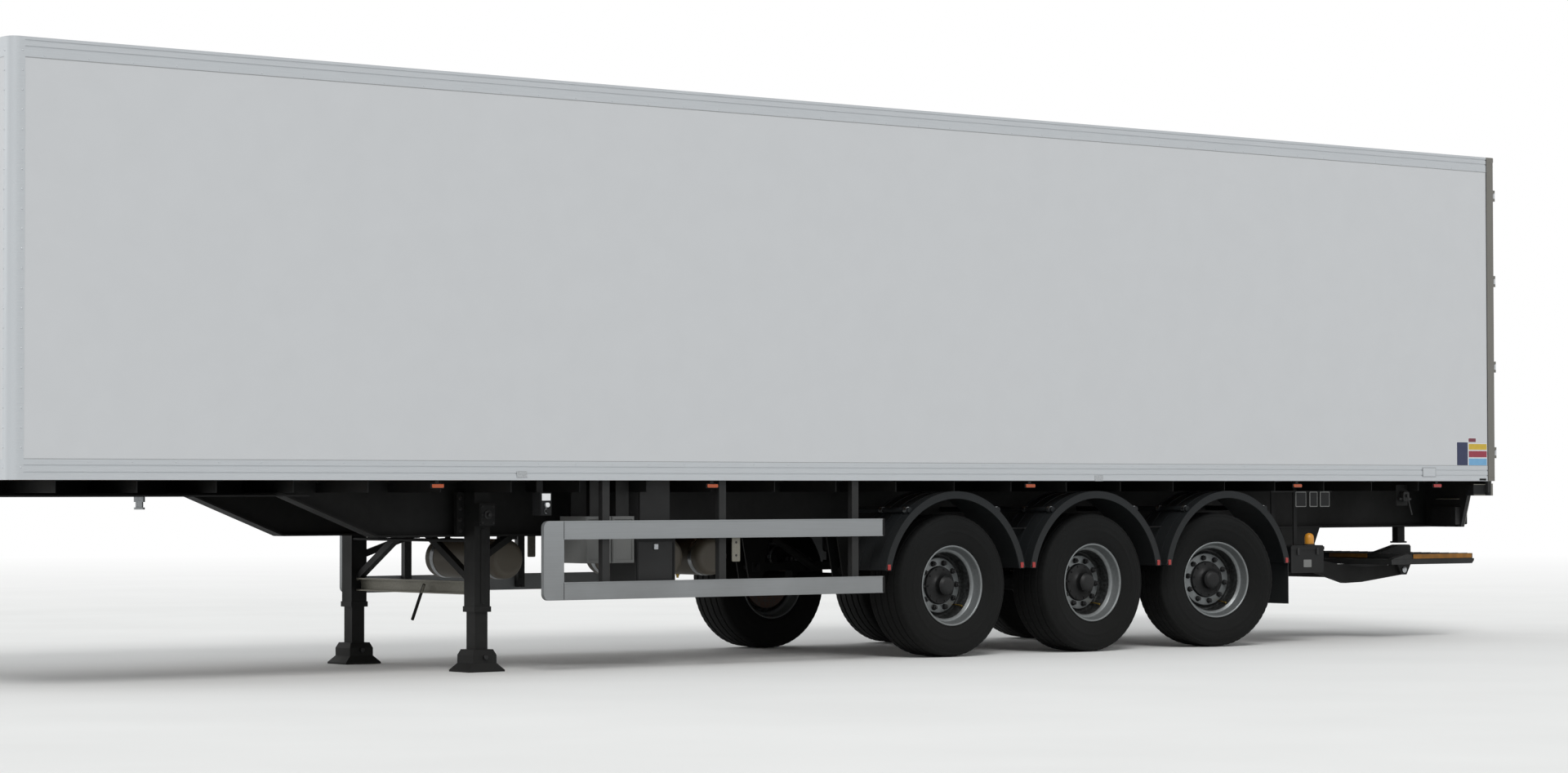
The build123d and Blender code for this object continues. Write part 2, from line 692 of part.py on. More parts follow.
# Axles: two fixed tubes with a brake at each end, and one that narrows to a fist round each kingpin
hub_face = TRACK_HALF - HUB_LONG - HUB_GAP
arm_base = WHEEL_Z + AXLE_RADIUS + PAD_HIGH  # underside of the trailing arms
with BuildPart() as fixed_axle:
    rod((0, -hub_face, WHEEL_Z), (0, hub_face, WHEEL_Z), AXLE_RADIUS)
    for name, side in SIDES:
        brake(side, side * TRACK_HALF)
        pad = across(side, ARM_Y - ARM_WIDE / 2, ARM_Y + ARM_WIDE / 2)
        block((-PAD_LONG / 2, PAD_LONG / 2), pad, (WHEEL_Z, arm_base))

with BuildPart() as steered_axle:
    tube_end = KING_Y - EAR_RADIUS - 2 * EAR_GAP
    rod((0, -tube_end, WHEEL_Z), (0, tube_end, WHEEL_Z), AXLE_RADIUS)
    for name, side in SIDES:
        pad = across(side, ARM_Y - ARM_WIDE / 2, ARM_Y + ARM_WIDE / 2)
        block((-PAD_LONG / 2, PAD_LONG / 2), pad, (WHEEL_Z, arm_base))
        neck = (WHEEL_Z - FIST_NECK / 2, WHEEL_Z + FIST_NECK / 2)
        block((-FIST_NECK / 2, FIST_NECK / 2), across(side, tube_end - 1, KING_Y), neck)
        king = side * KING_Y
        low = WHEEL_Z - FIST_HALF
        high = WHEEL_Z + FIST_HALF
        rod((0, king, low), (0, king, high), FIST_RADIUS)
        rod((0, king, low - 1), (0, king, high + 1), KING_RADIUS + KING_FIT, Mode.SUBTRACT)

axles = []
for form, x in zip((fixed_axle, fixed_axle, steered_axle), AXLE_X):
    axles.append(form.part.moved(Location((x, 0, 0))))
save(Compound(children=axles), "axles")

# Knuckles: ears above and below the fist, web, brake and a steering arm that points back and inwards
ear_low = FIST_HALF + EAR_GAP
ear_high = ear_low + EAR
arm_top = WHEEL_Z - ear_low
arm_low = WHEEL_Z - ear_high
tie_z = arm_low - TIE_RADIUS - EAR_GAP
for name, side in SIDES:
    with BuildPart() as knuckle:
        web = across(side, KNUCKLE_OUT, TRACK_HALF - KING_Y - HUB_LONG - HUB_GAP)
        block((-EAR_RADIUS, EAR_RADIUS), web, (WHEEL_Z - ear_high, WHEEL_Z + ear_high))
        for low, high in ((-ear_high, -ear_low), (ear_low, ear_high)):
            rod((0, 0, WHEEL_Z + low), (0, 0, WHEEL_Z + high), EAR_RADIUS)
            ear = (-EAR_RADIUS, EAR_RADIUS), across(side, 0, KNUCKLE_OUT + 1), (WHEEL_Z + low, WHEEL_Z + high)
            block(*ear)
        rod((0, 0, WHEEL_Z - ear_high), (0, 0, WHEEL_Z + ear_high), KING_RADIUS)
        tip = (-STEER_ARM_BACK, -side * STEER_ARM_IN)
        middle = (arm_top + arm_low) / 2
        bar((0, 0, middle), (*tip, middle), STEER_ARM_WIDE, EAR)
        rod((*tip, arm_low), (*tip, arm_top), STEER_ARM_WIDE / 2)
        rod((*tip, tie_z - TIE_EYE / 2 - EAR_GAP), (*tip, arm_low), BALL_RADIUS)
        brake(side, side * (TRACK_HALF - KING_Y))
    save(knuckle.part.moved(steered(side)), f"knuckle_{name}")

# Tie rod between the two steering arms, its right eye wide enough for the linkage's open pivot
with BuildPart() as tie_rod:
    ends = []
    for name, side in SIDES:
        ball = steered(side) * Location((-STEER_ARM_BACK, -side * STEER_ARM_IN, tie_z))
        ends.append(ball.position)
    rod(ends[0], ends[1], TIE_RADIUS)
    for end, fit in zip(ends, (BALL_FIT, OPEN_FIT)):
        low = Vector(end.X, end.Y, tie_z - TIE_EYE / 2)
        high = Vector(end.X, end.Y, tie_z + TIE_EYE / 2)
        rod(low, high, BALL_RADIUS + fit + TIE_EYE_WALL)
    for end, fit in zip(ends, (BALL_FIT, OPEN_FIT)):
        low = Vector(end.X, end.Y, tie_z - TIE_EYE)
        high = Vector(end.X, end.Y, tie_z + TIE_EYE)
        rod(low, high, BALL_RADIUS + fit, Mode.SUBTRACT)
save(tie_rod.part, "tie_rod")

# Air suspension: hanger, trailing arm over the axle, air bag and damper, as one left-hand corner round X = 0
arm_roof = arm_base + ARM_HIGH
with BuildPart() as corner:
    hanger = side_view(
        [
            (HANGER_X - HANGER_TOP / 2, BEAM_BOTTOM),
            (HANGER_X - HANGER_FOOT / 2, HANGER_LOW),
            (HANGER_X + HANGER_FOOT / 2, HANGER_LOW),
            (HANGER_X + HANGER_TOP / 2, BEAM_BOTTOM),
        ]
    )
    cheeks = (ARM_Y - HANGER_WIDE / 2, ARM_Y + HANGER_WIDE / 2)
    plate(hanger, cheeks[0], cheeks[0] + HANGER_PLATE)
    plate(hanger, cheeks[1] - HANGER_PLATE, cheeks[1])
    rear = HANGER_X - HANGER_TOP / 2
    block((rear, rear + HANGER_PLATE), cheeks, (arm_roof + HANGER_OPEN, BEAM_BOTTOM))
    arm = (ARM_Y - ARM_WIDE / 2, ARM_Y + ARM_WIDE / 2)
    block((ARM_REAR, HANGER_X), arm, (arm_base, arm_roof))
    eye_z = (arm_base + arm_roof) / 2
    rod((HANGER_X, arm[0], eye_z), (HANGER_X, arm[1], eye_z), ARM_HIGH / 2 + EYE_WALL)
    rod((HANGER_X, cheeks[0] - BOLT_PAST, eye_z), (HANGER_X, cheeks[1] + BOLT_PAST, eye_z), BOLT_RADIUS)
    seat = (BAG_X - BAG_WAIST, BAG_X + BAG_WAIST)
    block(seat, (BAG_Y - BAG_WAIST, arm[1]), (arm_roof, arm_roof + BAG_PLATE))
    bag_low = arm_roof + BAG_PLATE + BAG_PISTON
    bag_high = BEAM_BOTTOM - BAG_NECK
    rod((BAG_X, BAG_Y, arm_roof + BAG_PLATE), (BAG_X, BAG_Y, bag_low), BAG_WAIST)
    rod((BAG_X, BAG_Y, bag_low), (BAG_X, BAG_Y, bag_high), BAG_RADIUS)
    rod((BAG_X, BAG_Y, bag_high), (BAG_X, BAG_Y, BEAM_BOTTOM), BAG_WAIST)
    foot = (-DAMPER_FOOT, DAMPER_Y, arm_base + DAMPER_LUG / 4)
    head = (rear, DAMPER_Y, BEAM_BOTTOM - DAMPER_DROP)
    rod(foot, head, DAMPER_RADIUS)
    lug = (DAMPER_Y - DAMPER_LUG_WIDE, ARM_Y)
    half = DAMPER_LUG / 2
    block((foot[0] - half, foot[0] + half), lug, (arm_base, arm_base + DAMPER_DROP))
    block((head[0] - half, head[0] + half), lug, (head[2] - half / 2, BEAM_BOTTOM))

corners = []
for x in AXLE_X:
    corners += both_sides(corner.part.moved(Location((x, 0, 0))))
save(Compound(children=corners), "suspension")


def ring(inner, outer):
    """Side view of half a ring over an axle at X = 0, open below."""
    with BuildSketch(Plane.XZ) as band:
        with Locations((0, WHEEL_Z)):
            Circle(outer)
            Circle(inner, mode=Mode.SUBTRACT)
            drop = outer * math.sin(math.radians(WING_END))
            with Locations((0, drop - outer)):
                Rectangle(2 * outer, 2 * outer, mode=Mode.SUBTRACT)
    return band.sketch


def wing():
    """Left-hand wing over an axle at X = 0 with a turned-down outer lip, and its two tubes from the beam."""
    plate(ring(WING_RADIUS - WING_SKIN, WING_RADIUS), WING_IN, WING_OUT)
    plate(ring(WING_RADIUS - WING_LIP, WING_RADIUS), WING_OUT - WING_LIP_THICK, WING_OUT)
    for x in (-WING_TUBE_X, WING_TUBE_X):
        reach = WING_RADIUS + WING_TUBE - WING_TUBE_SUNK
        z = WHEEL_Z + math.sqrt(reach**2 - x**2)
        rod((x, BEAM_Y + WEB / 2, z), (x, WING_OUT - WING_TUBE_SHORT, z), WING_TUBE)


# Mudguards: a half-round wing over each wheel, the last with a flap
with BuildPart() as plain_wing:
    wing()

with BuildPart() as flap_wing:
    wing()
    flap_x = -WING_RADIUS * math.cos(math.radians(WING_END))
    flap_top = WHEEL_Z + WING_RADIUS * math.sin(math.radians(WING_END)) + FLAP_LAP
    block((flap_x - FLAP, flap_x), (WING_IN, WING_OUT - WING_LIP_THICK), (FLAP_LOW, flap_top))

wings = []
for form, x in zip((plain_wing, plain_wing, flap_wing), AXLE_X):
    wings += both_sides(form.part.moved(Location((x, 0, 0))))
save(Compound(children=wings), "mudguards")


def shoe(long):
    """Outline of a landing foot from one side, over a sole of the given length."""
    right = [(long / 2, 0), (long / 2, FOOT_SOLE)]
    right += [(FOOT_COLLAR, z) for z in FOOT_COLLAR_Z]
    right.append((FOOT_TOP, FOOT_HIGH))
    return right + [(-half, z) for half, z in reversed(right)]


# Landing legs: square outer tube bolted to the beam, inner tube run down to a foot on the ground
with BuildPart() as shoe_form:
    plate(side_view(shoe(FOOT_LONG)), -FOOT_WIDE / 2, FOOT_WIDE / 2)
    extrude(end_view(shoe(FOOT_WIDE)), amount=FOOT_LONG / 2, both=True, mode=Mode.INTERSECT)

leg_half = LEG_TUBE / 2
leg_top = BODY_BOTTOM - BEARER_HIGH
with BuildPart() as leg:
    block((LEG_X - leg_half, LEG_X + leg_half), (LEG_Y - leg_half, LEG_Y + leg_half), (LEG_LOW, leg_top))
    half = LEG_INNER / 2
    block((LEG_X - half, LEG_X + half), (LEG_Y - half, LEG_Y + half), (FOOT_HIGH, LEG_LOW))
    mount = (BEAM_Y + FLANGE_WIDE / 2, LEG_Y - leg_half)
    block((LEG_X - LEG_MOUNT / 2, LEG_X + LEG_MOUNT / 2), mount, (BEAM_BOTTOM, leg_top))
    case = (LEG_Y + leg_half, LEG_Y + leg_half + GEAR_CASE)
    block((LEG_X - leg_half, LEG_X + leg_half), case, GEAR_CASE_Z)
    add(shoe_form.part.moved(Location((LEG_X, LEG_Y, 0))))
save(Compound(children=both_sides(leg.part)), "landing_legs")

# Bracing: channel between the legs, two bars from the legs up to a member between the beams, a stay from each
# leg back to its beam, drive shaft and hanging crank
with BuildPart() as leg_bracing:
    inner = LEG_Y - leg_half
    cross_x = (LEG_X - CROSS_THICK / 2, LEG_X + CROSS_THICK / 2)
    cross_low = CROSS_Z - CROSS_HIGH / 2
    cross_high = CROSS_Z + CROSS_HIGH / 2
    block((cross_x[0], cross_x[0] + CROSS_WALL), (-inner, inner), (cross_low, cross_high))
    block(cross_x, (-inner, inner), (cross_low, cross_low + CROSS_WALL))
    block(cross_x, (-inner, inner), (cross_high - CROSS_WALL, cross_high))
    member = BEAM_Y - FLANGE_WIDE / 2
    block(cross_x, (-member, member), (BEAM_BOTTOM, BEAM_BOTTOM + BRACE))
    for name, side in SIDES:
        bar((LEG_X, side * LEG_Y, BRACE_FOOT_Z), (LEG_X, side * BRACE_HEAD_Y, BRACE_HEAD_Z), BRACE, BRACE)
        bar((LEG_X, side * LEG_Y, STAY_LEG_Z), (STAY_BEAM_X, side * BEAM_Y, BEAM_BOTTOM), BRACE, BRACE)
        gusset = (STAY_BEAM_X - BRACE, STAY_BEAM_X + BRACE)
        middle = (BEAM_Y - BRACE / 2, BEAM_Y + BRACE / 2)
        block(gusset, across(side, *middle), (BEAM_BOTTOM - BRACE / 2, BEAM_BOTTOM))
        tube = across(side, inner, inner + LEG_TUBE)
        block((LEG_X - leg_half, LEG_X + leg_half), tube, (LEG_LOW, leg_top), Mode.SUBTRACT)
        flange = across(side, member, BEAM_Y + FLANGE_WIDE / 2)
        block((STAY_BEAM_X - LEG_MOUNT, LEG_X + LEG_MOUNT), flange, (BEAM_BOTTOM, leg_top), Mode.SUBTRACT)
    shaft_x = LEG_X + SHAFT_X
    rod((shaft_x, -inner, SHAFT_Z), (shaft_x, inner, SHAFT_Z), SHAFT_RADIUS)
    rod((cross_x[1], *CRANK_HEAD), (cross_x[1], *CRANK_TIP), SHAFT_RADIUS)
save(leg_bracing.part, "leg_bracing")

# Side guards: two rails on struts with a rounded upright at the front
with BuildPart() as side_guards:
    for name, side in SIDES:
        deep = across(side, GUARD_OUT - GUARD_THICK, GUARD_OUT)
        block((GUARD_FRONT, GUARD_FRONT + GUARD_POST), deep, (GUARD_LOW[0], GUARD_HIGH[1]))
    fillet(side_guards.edges().filter_by(Axis.Y).group_by(Axis.X)[-1], radius=GUARD_CORNER)
    for name, side in SIDES:
        deep = across(side, GUARD_OUT - GUARD_THICK, GUARD_OUT)
        for low, high in (GUARD_LOW, GUARD_HIGH):
            block((GUARD_REAR, GUARD_FRONT), deep, (low, high))
        behind = across(side, GUARD_OUT - GUARD_THICK - STRUT_THICK, GUARD_OUT - GUARD_THICK)
        for x in STRUT_X:
            block((x - STRUT / 2, x + STRUT / 2), behind, (GUARD_LOW[0] + STRUT_RAISED, BODY_BOTTOM))
save(side_guards.part, "side_guards")

# Tail lift frame: brackets under the beams with the pivot tube and the cylinders' anchors
pivot_x, pivot_z = LIFT_PIVOT
tip_x, tip_z = LIFT_TIP
cross_x, cross_z = LIFT_CROSS
anchor_x, anchor_z = CYLINDER_ANCHOR
arm_gap = LIFT_ARM / 2 + LIFT_SIDE_GAP  # from an arm's middle to the plates beside it
with BuildPart() as lift_frame:
    cheek = side_view(
        [
            (pivot_x - LIFT_BRACKET_TOP, BEAM_BOTTOM),
            (pivot_x - LIFT_BRACKET_FOOT, pivot_z - LIFT_BRACKET_DROP),
            (pivot_x + LIFT_BRACKET_FOOT, pivot_z - LIFT_BRACKET_DROP),
            (pivot_x + LIFT_BRACKET_TOP, BEAM_BOTTOM),
        ]
    )
    near = LIFT_ARM_Y - arm_gap
    far = LIFT_ARM_Y + arm_gap
    for name, side in SIDES:
        plate(cheek, *across(side, near - LIFT_BRACKET, near))
        plate(cheek, *across(side, far, far + LIFT_BRACKET))
        tube_in = side * (near - LIFT_BRACKET)
        tube_out = side * (far + LIFT_BRACKET)
        rod((pivot_x, tube_in, pivot_z), (pivot_x, tube_out, pivot_z), LIFT_TUBE)
        pin = across(side, CYLINDER_Y - EYE_WIDE / 2 - ANCHOR_PAST, near - LIFT_BRACKET / 2)
        rod((anchor_x, pin[0], anchor_z), (anchor_x, pin[1], anchor_z), PISTON_RADIUS)
    half = LIFT_BEAM / 2
    reach = near - LIFT_BRACKET / 2
    block((pivot_x - half, pivot_x + half), (-reach, reach), (pivot_z - half, pivot_z + half))
save(lift_frame.part, "lift_frame")

# Lift arms: bent plates joined by a cross tube
with BuildPart() as lift_arms:
    outline = [(pivot_x, pivot_z + LIFT_BOSS), (pivot_x, pivot_z - LIFT_BOSS)]
    outline += [(cross_x + ahead, cross_z + above) for ahead, above in LIFT_BELLY]
    outline += [(tip_x, tip_z - LIFT_BOSS), (tip_x, tip_z + LIFT_BOSS)]
    outline += [(cross_x + ahead, cross_z + above) for ahead, above in LIFT_BACK]
    for name, side in SIDES:
        low, high = across(side, LIFT_ARM_Y - LIFT_ARM / 2, LIFT_ARM_Y + LIFT_ARM / 2)
        plate(side_view(outline), low, high)
        rod((pivot_x, low, pivot_z), (pivot_x, high, pivot_z), LIFT_HUB)
        rod((pivot_x, low - 1, pivot_z), (pivot_x, high + 1, pivot_z), LIFT_TUBE + LIFT_FIT, Mode.SUBTRACT)
        rod((tip_x, low, tip_z), (tip_x, high, tip_z), LIFT_BOSS)
        rod((tip_x, low - 1, tip_z), (tip_x, high + 1, tip_z), TIP_PIN + LIFT_FIT, Mode.SUBTRACT)
    rod((cross_x, -LIFT_ARM_Y, cross_z), (cross_x, LIFT_ARM_Y, cross_z), CROSS_RADIUS)
save(lift_arms.part, "lift_arms")

# Lift cylinders: barrels on the frame's anchors, rods with open eyes round the arms' cross tube
anchor = Vector(anchor_x, CYLINDER_Y, anchor_z)
cross = Vector(cross_x, CYLINDER_Y, cross_z)
line = (cross - anchor).normalized()
half = Vector(0, EYE_WIDE / 2, 0)
with BuildPart() as lift_barrel:
    rod(anchor + line * (EYE - EYE_SUNK), anchor + line * CYLINDER_LONG, CYLINDER_RADIUS)
    bore = PISTON_RADIUS + PISTON_FIT
    rod(anchor + line * CYLINDER_BASE, anchor + line * (CYLINDER_LONG + 1), bore, Mode.SUBTRACT)
    rod(anchor - half, anchor + half, EYE)
    rod(anchor - half * 2, anchor + half * 2, PISTON_RADIUS + LIFT_FIT, Mode.SUBTRACT)
save(Compound(children=both_sides(lift_barrel.part)), "lift_barrels")

open_eye = CROSS_RADIUS + OPEN_EYE
with BuildPart() as lift_rod:
    rod(anchor + line * PISTON_SEAT, cross - line * (open_eye + OPEN_EYE_WALL - EYE_SUNK), PISTON_RADIUS)
    rod(cross - half, cross + half, open_eye + OPEN_EYE_WALL)
    rod(cross - half * 2, cross + half * 2, open_eye, Mode.SUBTRACT)
save(Compound(children=both_sides(lift_rod.part)), "lift_rods")

# Lift platform: main plate with hinge lugs below it
with BuildPart() as lift_platform:
    deck = (PLATFORM_Z, PLATFORM_Z + PLATFORM)
    block((PLATFORM_REAR, PLATFORM_FRONT), (-PLATFORM_HALF, PLATFORM_HALF), deck)
    nose = lift_platform.edges().filter_by(Axis.Y).group_by(Axis.X)[0].sort_by(Axis.Z)[0]
    chamfer(nose, length=PLATFORM_NOSE)
    top, foot = PLATFORM_LUG
    lug_low = tip_z - LIFT_BOSS
    lug = side_view(
        [
            (tip_x - top, PLATFORM_Z),
            (tip_x - foot, lug_low),
            (tip_x + foot, lug_low),
            (tip_x + top, PLATFORM_Z),
        ]
    )
    for name, side in SIDES:
        plate(lug, *across(side, near - LIFT_BRACKET, near))
        plate(lug, *across(side, far, far + LIFT_BRACKET))
        pin = across(side, near - LIFT_BRACKET / 2, far + LIFT_BRACKET / 2)
        rod((tip_x, pin[0], tip_z), (tip_x, pin[1], tip_z), TIP_PIN)

# Folded tip of the platform, lying on the main plate
with BuildPart() as lift_flap:
    flap_low = PLATFORM_Z + PLATFORM
    flap = (flap_low, flap_low + PLATFORM)
    long = (PLATFORM_REAR + FLAP_REAR_GAP, PLATFORM_FRONT - FLAP_FRONT_GAP)
    block(long, (-PLATFORM_HALF, PLATFORM_HALF), flap)
    nose = lift_flap.edges().filter_by(Axis.Y).group_by(Axis.X)[-1].sort_by(Axis.Z)[-1]
    chamfer(nose, length=PLATFORM_NOSE)
save(Compound(children=[lift_platform.part, lift_flap.part]), "lift_platform")

# Lift pump box behind the left mudflap, hung from the cross bearers
with BuildPart() as pump_box:
    x, y, z = PUMP_BOX
    block(x, y, z)
    fillet(pump_box.edges().filter_by(Axis.Y), radius=PUMP_CORNER)
    from_end, half, from_inside, thick = PUMP_HANGER
    hanger = (y[0] + from_inside, y[0] + from_inside + thick)
    for centre in (x[0] + from_end, x[1] - from_end):
        block((centre - half, centre + half), hanger, (z[1] - BOX_HANGER_SUNK, BODY_BOTTOM))
save(pump_box.part, "pump_box")

# Boxes behind the left side guard, each on two hangers from the floor
with BuildPart() as store_boxes:
    from_rear, from_front, from_side, thick = BOX_HANGER
    for x, y, z in STORE_BOXES:
        block(x, y, z)
        for centre in (y[0] + from_side, y[1] - from_side):
            hanger = (centre - thick / 2, centre + thick / 2)
            block((x[0] + from_rear, x[1] - from_front), hanger, (z[1] - BOX_HANGER_SUNK, BODY_BOTTOM))
save(store_boxes.part, "store_boxes")

# Air tanks across the chassis, strapped below the beams
with BuildPart() as air_tanks:
    for x in TANK_X:
        rod((x, -TANK_HALF, TANK_Z), (x, TANK_HALF, TANK_Z), TANK_RADIUS)
    ends = air_tanks.edges().filter_by(GeomType.CIRCLE)
    fillet(ends, radius=TANK_CORNER)
    half = TANK_STRAP_THICK / 2
    for x in TANK_X:
        for name, side in SIDES:
            strap = across(side, TANK_STRAP_Y, TANK_STRAP_Y + TANK_STRAP)
            block((x - half, x + half), strap, (TANK_Z + TANK_RADIUS - TANK_STRAP_SUNK, BODY_BOTTOM))
save(air_tanks.part, "air_tanks")

# Brake control panel below the left rail, ahead of the side guard
with BuildPart() as control_panel:
    block(*CONTROL_BOX)
    x, y, z = CONTROL_BOX
    from_end, from_inside, thick = CONTROL_HANGER
    hanger = (y[0] + from_inside, y[0] + from_inside + thick)
    block((x[0] + from_end, x[1] - from_end), hanger, (z[1] - BOX_HANGER_SUNK, BODY_BOTTOM))
save(control_panel.part, "control_panel")

# Lamps: side markers below the rails and rear lamps on the deep crossmember
with BuildPart() as lamps:
    for name, side in SIDES:
        block((FRAME_FACE - REAR_LAMP, FRAME_FACE), across(side, *REAR_LAMP_Y), REAR_LAMP_Z)
    fillet(lamps.edges().filter_by(Axis.X), radius=REAR_LAMP_CORNER)
    lamp_top = BODY_BOTTOM - LAMP_DROP
    for x in LAMP_X:
        for name, side in SIDES:
            face = SIDE - LAMP_INSET
            deep = across(side, face - LAMP_DEEP, face)
            block((x - LAMP_LONG / 2, x + LAMP_LONG / 2), deep, (lamp_top - LAMP_HIGH, lamp_top))
            stem = across(side, face - LAMP_DEEP, SIDE - LAMP_DEEP)
            block((x - LAMP_STEM / 2, x + LAMP_STEM / 2), stem, (lamp_top, BODY_BOTTOM))
save(lamps.part, "lamps")
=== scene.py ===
"""Looks of the box semi-trailer: finishes, fine pieces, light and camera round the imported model."""
import json
import logging
import math
from dataclasses import dataclass
from enum import Enum
from functools import reduce
from typing import Iterable, Sequence

import bmesh
import bpy
import numpy as np
from mathutils import Matrix, Vector


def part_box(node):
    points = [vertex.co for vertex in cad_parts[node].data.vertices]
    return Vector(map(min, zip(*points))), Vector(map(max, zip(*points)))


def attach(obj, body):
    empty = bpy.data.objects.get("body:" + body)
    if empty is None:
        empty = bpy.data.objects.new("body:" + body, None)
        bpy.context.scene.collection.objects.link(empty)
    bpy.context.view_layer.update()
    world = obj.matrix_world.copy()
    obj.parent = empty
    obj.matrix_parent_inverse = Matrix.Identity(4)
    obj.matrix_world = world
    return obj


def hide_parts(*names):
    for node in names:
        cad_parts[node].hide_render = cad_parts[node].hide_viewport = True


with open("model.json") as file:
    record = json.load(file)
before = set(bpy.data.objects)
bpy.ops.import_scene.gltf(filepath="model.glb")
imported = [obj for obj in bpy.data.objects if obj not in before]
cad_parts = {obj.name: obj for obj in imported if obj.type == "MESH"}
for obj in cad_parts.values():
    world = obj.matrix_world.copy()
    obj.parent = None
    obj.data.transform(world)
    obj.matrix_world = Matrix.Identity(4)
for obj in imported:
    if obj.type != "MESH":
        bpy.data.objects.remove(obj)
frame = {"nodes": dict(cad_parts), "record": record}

logging.basicConfig(level=logging.INFO, format="%(message)s")
LOG = logging.getLogger("scene")

Point = tuple[float, float, float]
Pair = tuple[float, float]

TRAILER, PLATFORM, ARMS = "trailer", "lift_platform", "lift_arms"  # bodies that pieces ride on
SIDES: tuple[tuple[str, int], ...] = (("left", 1), ("right", -1))
WELL_SHADE_AND_DUST = "soil"  # mesh attribute: share of painted shade and brake dust that darkens a point of a rim's well
PHOTO_FRAME = (1920, 947)
CLOUDS = 1.7  # noise scale of the clouds that vary gloss and dust, about 0.6 m wide
GRAIN_STRENGTH = 0.6  # share of a finish's bump that its grain shows
COAT_ROUGHNESS = 0.15

# A Mix node's inputs share their names, so they go by number: numbers in 2 and 3, colours in 6 and 7
FACTOR, NUMBER_A, NUMBER_B, COLOR_A, COLOR_B, COLOR_OUT = 0, 2, 3, 6, 7, 2


class Axis(Enum):
    """The three axes by their place in a point."""

    X = 0
    Y = 1
    Z = 2


class Pattern(Enum):
    """How a finish varies: how close its grain stands along X, Y and Z."""

    MOTTLED = (1.0, 1.0, 1.0)  # even specks in all directions
    BRUSHED = (0.02, 1.0, 1.0)  # streaks along the trailer
    STREAKED = (1.0, 1.0, 0.15)  # streaks that run down
    PLANKED = (0.05, 1.0, 1.0)  # boards laid along the trailer


@dataclass(frozen=True)
class Finish:
    """One real material: sRGB hex colours, roughness range, and grain, bump and dust's top in metres."""

    name: str
    base: str
    shade: str
    rough: Pair
    slot: str
    metal: float = 0.0
    grain: float = 0.02
    mix: float = 0.35
    bump: float = 0.0005
    coat: float = 0.0
    specular: float = 0.5
    dust: float = 0.0
    dust_color: str = "#8F8A80"
    dust_top: float = 1.3
    # colour of the painted shade with brake dust in a rim's well
    well_shade_and_dust_color: str | None = None
    pattern: Pattern = Pattern.MOTTLED


@dataclass(frozen=True)
class Zone:
    """Part of a node with a finish of its own: a box in X, in distance from the middle plane and in Z."""

    x: Pair
    side: Pair
    z: Pair
    finish: Finish


def sign_film(name: str, base: str, shade: str, slot: str = "panel") -> Finish:
    """Blank sign film: matt vinyl, a little faded in clouds of 30 mm."""
    return Finish(name, base, shade, (0.35, 0.45), slot, grain=0.03, mix=0.4, bump=0.0001)


def lens_plastic(name: str, base: str, shade: str, rough: Pair, coat: float) -> Finish:
    """Moulded lens plastic: deep colour under a gloss, rippled every 6 mm by the flutes behind it."""
    return Finish(name, base, shade, rough, "lamp", grain=0.006, coat=coat)


# Grain of paint and moulded plastic is a fraction of a millimetre in truth; it is drawn 3 mm and coarser,
# because finer grain doesn't show at the photograph's distance.

# Glass fibre side panels in white gel coat: satin, slightly dulled by the road in clouds of 200 mm
PANEL = Finish("panel_gel_coat", "#C3C5C7", "#BEC0C2", (0.36, 0.44), "panel", grain=0.2, mix=0.3,
               bump=0.00005, coat=0.1, dust=0.08, dust_color="#AFAEAA", dust_top=1.7)
# Anodised aluminium rails: a soft sheen drawn out along the rail by the extrusion's lines
RAIL = Finish("rail_aluminium", "#BEC2C5", "#B2B6BA", (0.36, 0.46), "rail", metal=0.45, grain=0.004,
              mix=0.4, bump=0.00005, pattern=Pattern.BRUSHED, dust=0.12, dust_color="#A3A19B", dust_top=1.45)
# Mill-finish aluminium guard rails: streaked like the rails, and darker towards the bottom
GUARD = Finish("guard_aluminium", "#919496", "#888B8C", (0.42, 0.55), "guard", metal=0.4, grain=0.005,
               mix=0.4, bump=0.00008, pattern=Pattern.BRUSHED, dust=0.75, dust_color="#54534F",
               dust_top=1.05)
# Grey painted steel of the rear portal: dull, with rain streaks that run down it
PORTAL = Finish("portal_paint", "#6E6C66", "#5C5A55", (0.4, 0.6), "frame_grey", grain=0.05, bump=0.0003,
                pattern=Pattern.STREAKED, dust=0.25, dust_top=1.6)
# Black chassis paint: nearly black and barely glossy, with a brownish film towards the road
CHASSIS = Finish("chassis_paint", "#0D0E0E", "#151616", (0.5, 0.75), "chassis_black", grain=0.06, mix=0.6,
                 specular=0.22, dust=0.3, dust_color="#2B2926", dust_top=1.25)
# Zinc-plated steel of the lock rods, kingpin and piston rods: bright, with blue-grey blotches of 10 mm
STEEL = Finish("zinc_steel", "#B7BABC", "#8E9296", (0.25, 0.45), "steel", metal=1.0, grain=0.01, mix=0.6,
               bump=0.0001)
# Moulded black plastic of the wings: matt and stippled
WING = Finish("wing_plastic", "#15181A", "#1D2022", (0.5, 0.7), "wing", grain=0.004, mix=0.4, bump=0.0004,
              specular=0.25, dust=0.25, dust_color="#44433F", dust_top=1.25)
# Varnished hardwood floor boards: warm brown with long streaks of grain, 20 mm wide
FLOOR = Finish("floor_hardwood", "#7A5A3A", "#5E432A", (0.4, 0.6), "floor", mix=0.7, bump=0.0008,
               pattern=Pattern.PLANKED)
# Black moulded plastic of the pump box and the control unit: matt, finely stippled
BOX_BLACK = Finish("box_black_plastic", "#0F1011", "#161718", (0.5, 0.7), "box_black", grain=0.003, mix=0.4,
                   bump=0.0003, specular=0.25, dust=0.25, dust_color="#33312D", dust_top=1.1)
# Light grey moulded plastic of the store boxes: matt, dusty at its foot
BOX_GREY = Finish("box_grey_plastic", "#717270", "#6D6F70", (0.5, 0.65), "box_grey", grain=0.003, mix=0.4,
                  bump=0.0003, dust=0.35, dust_color="#605D57", dust_top=1.1)
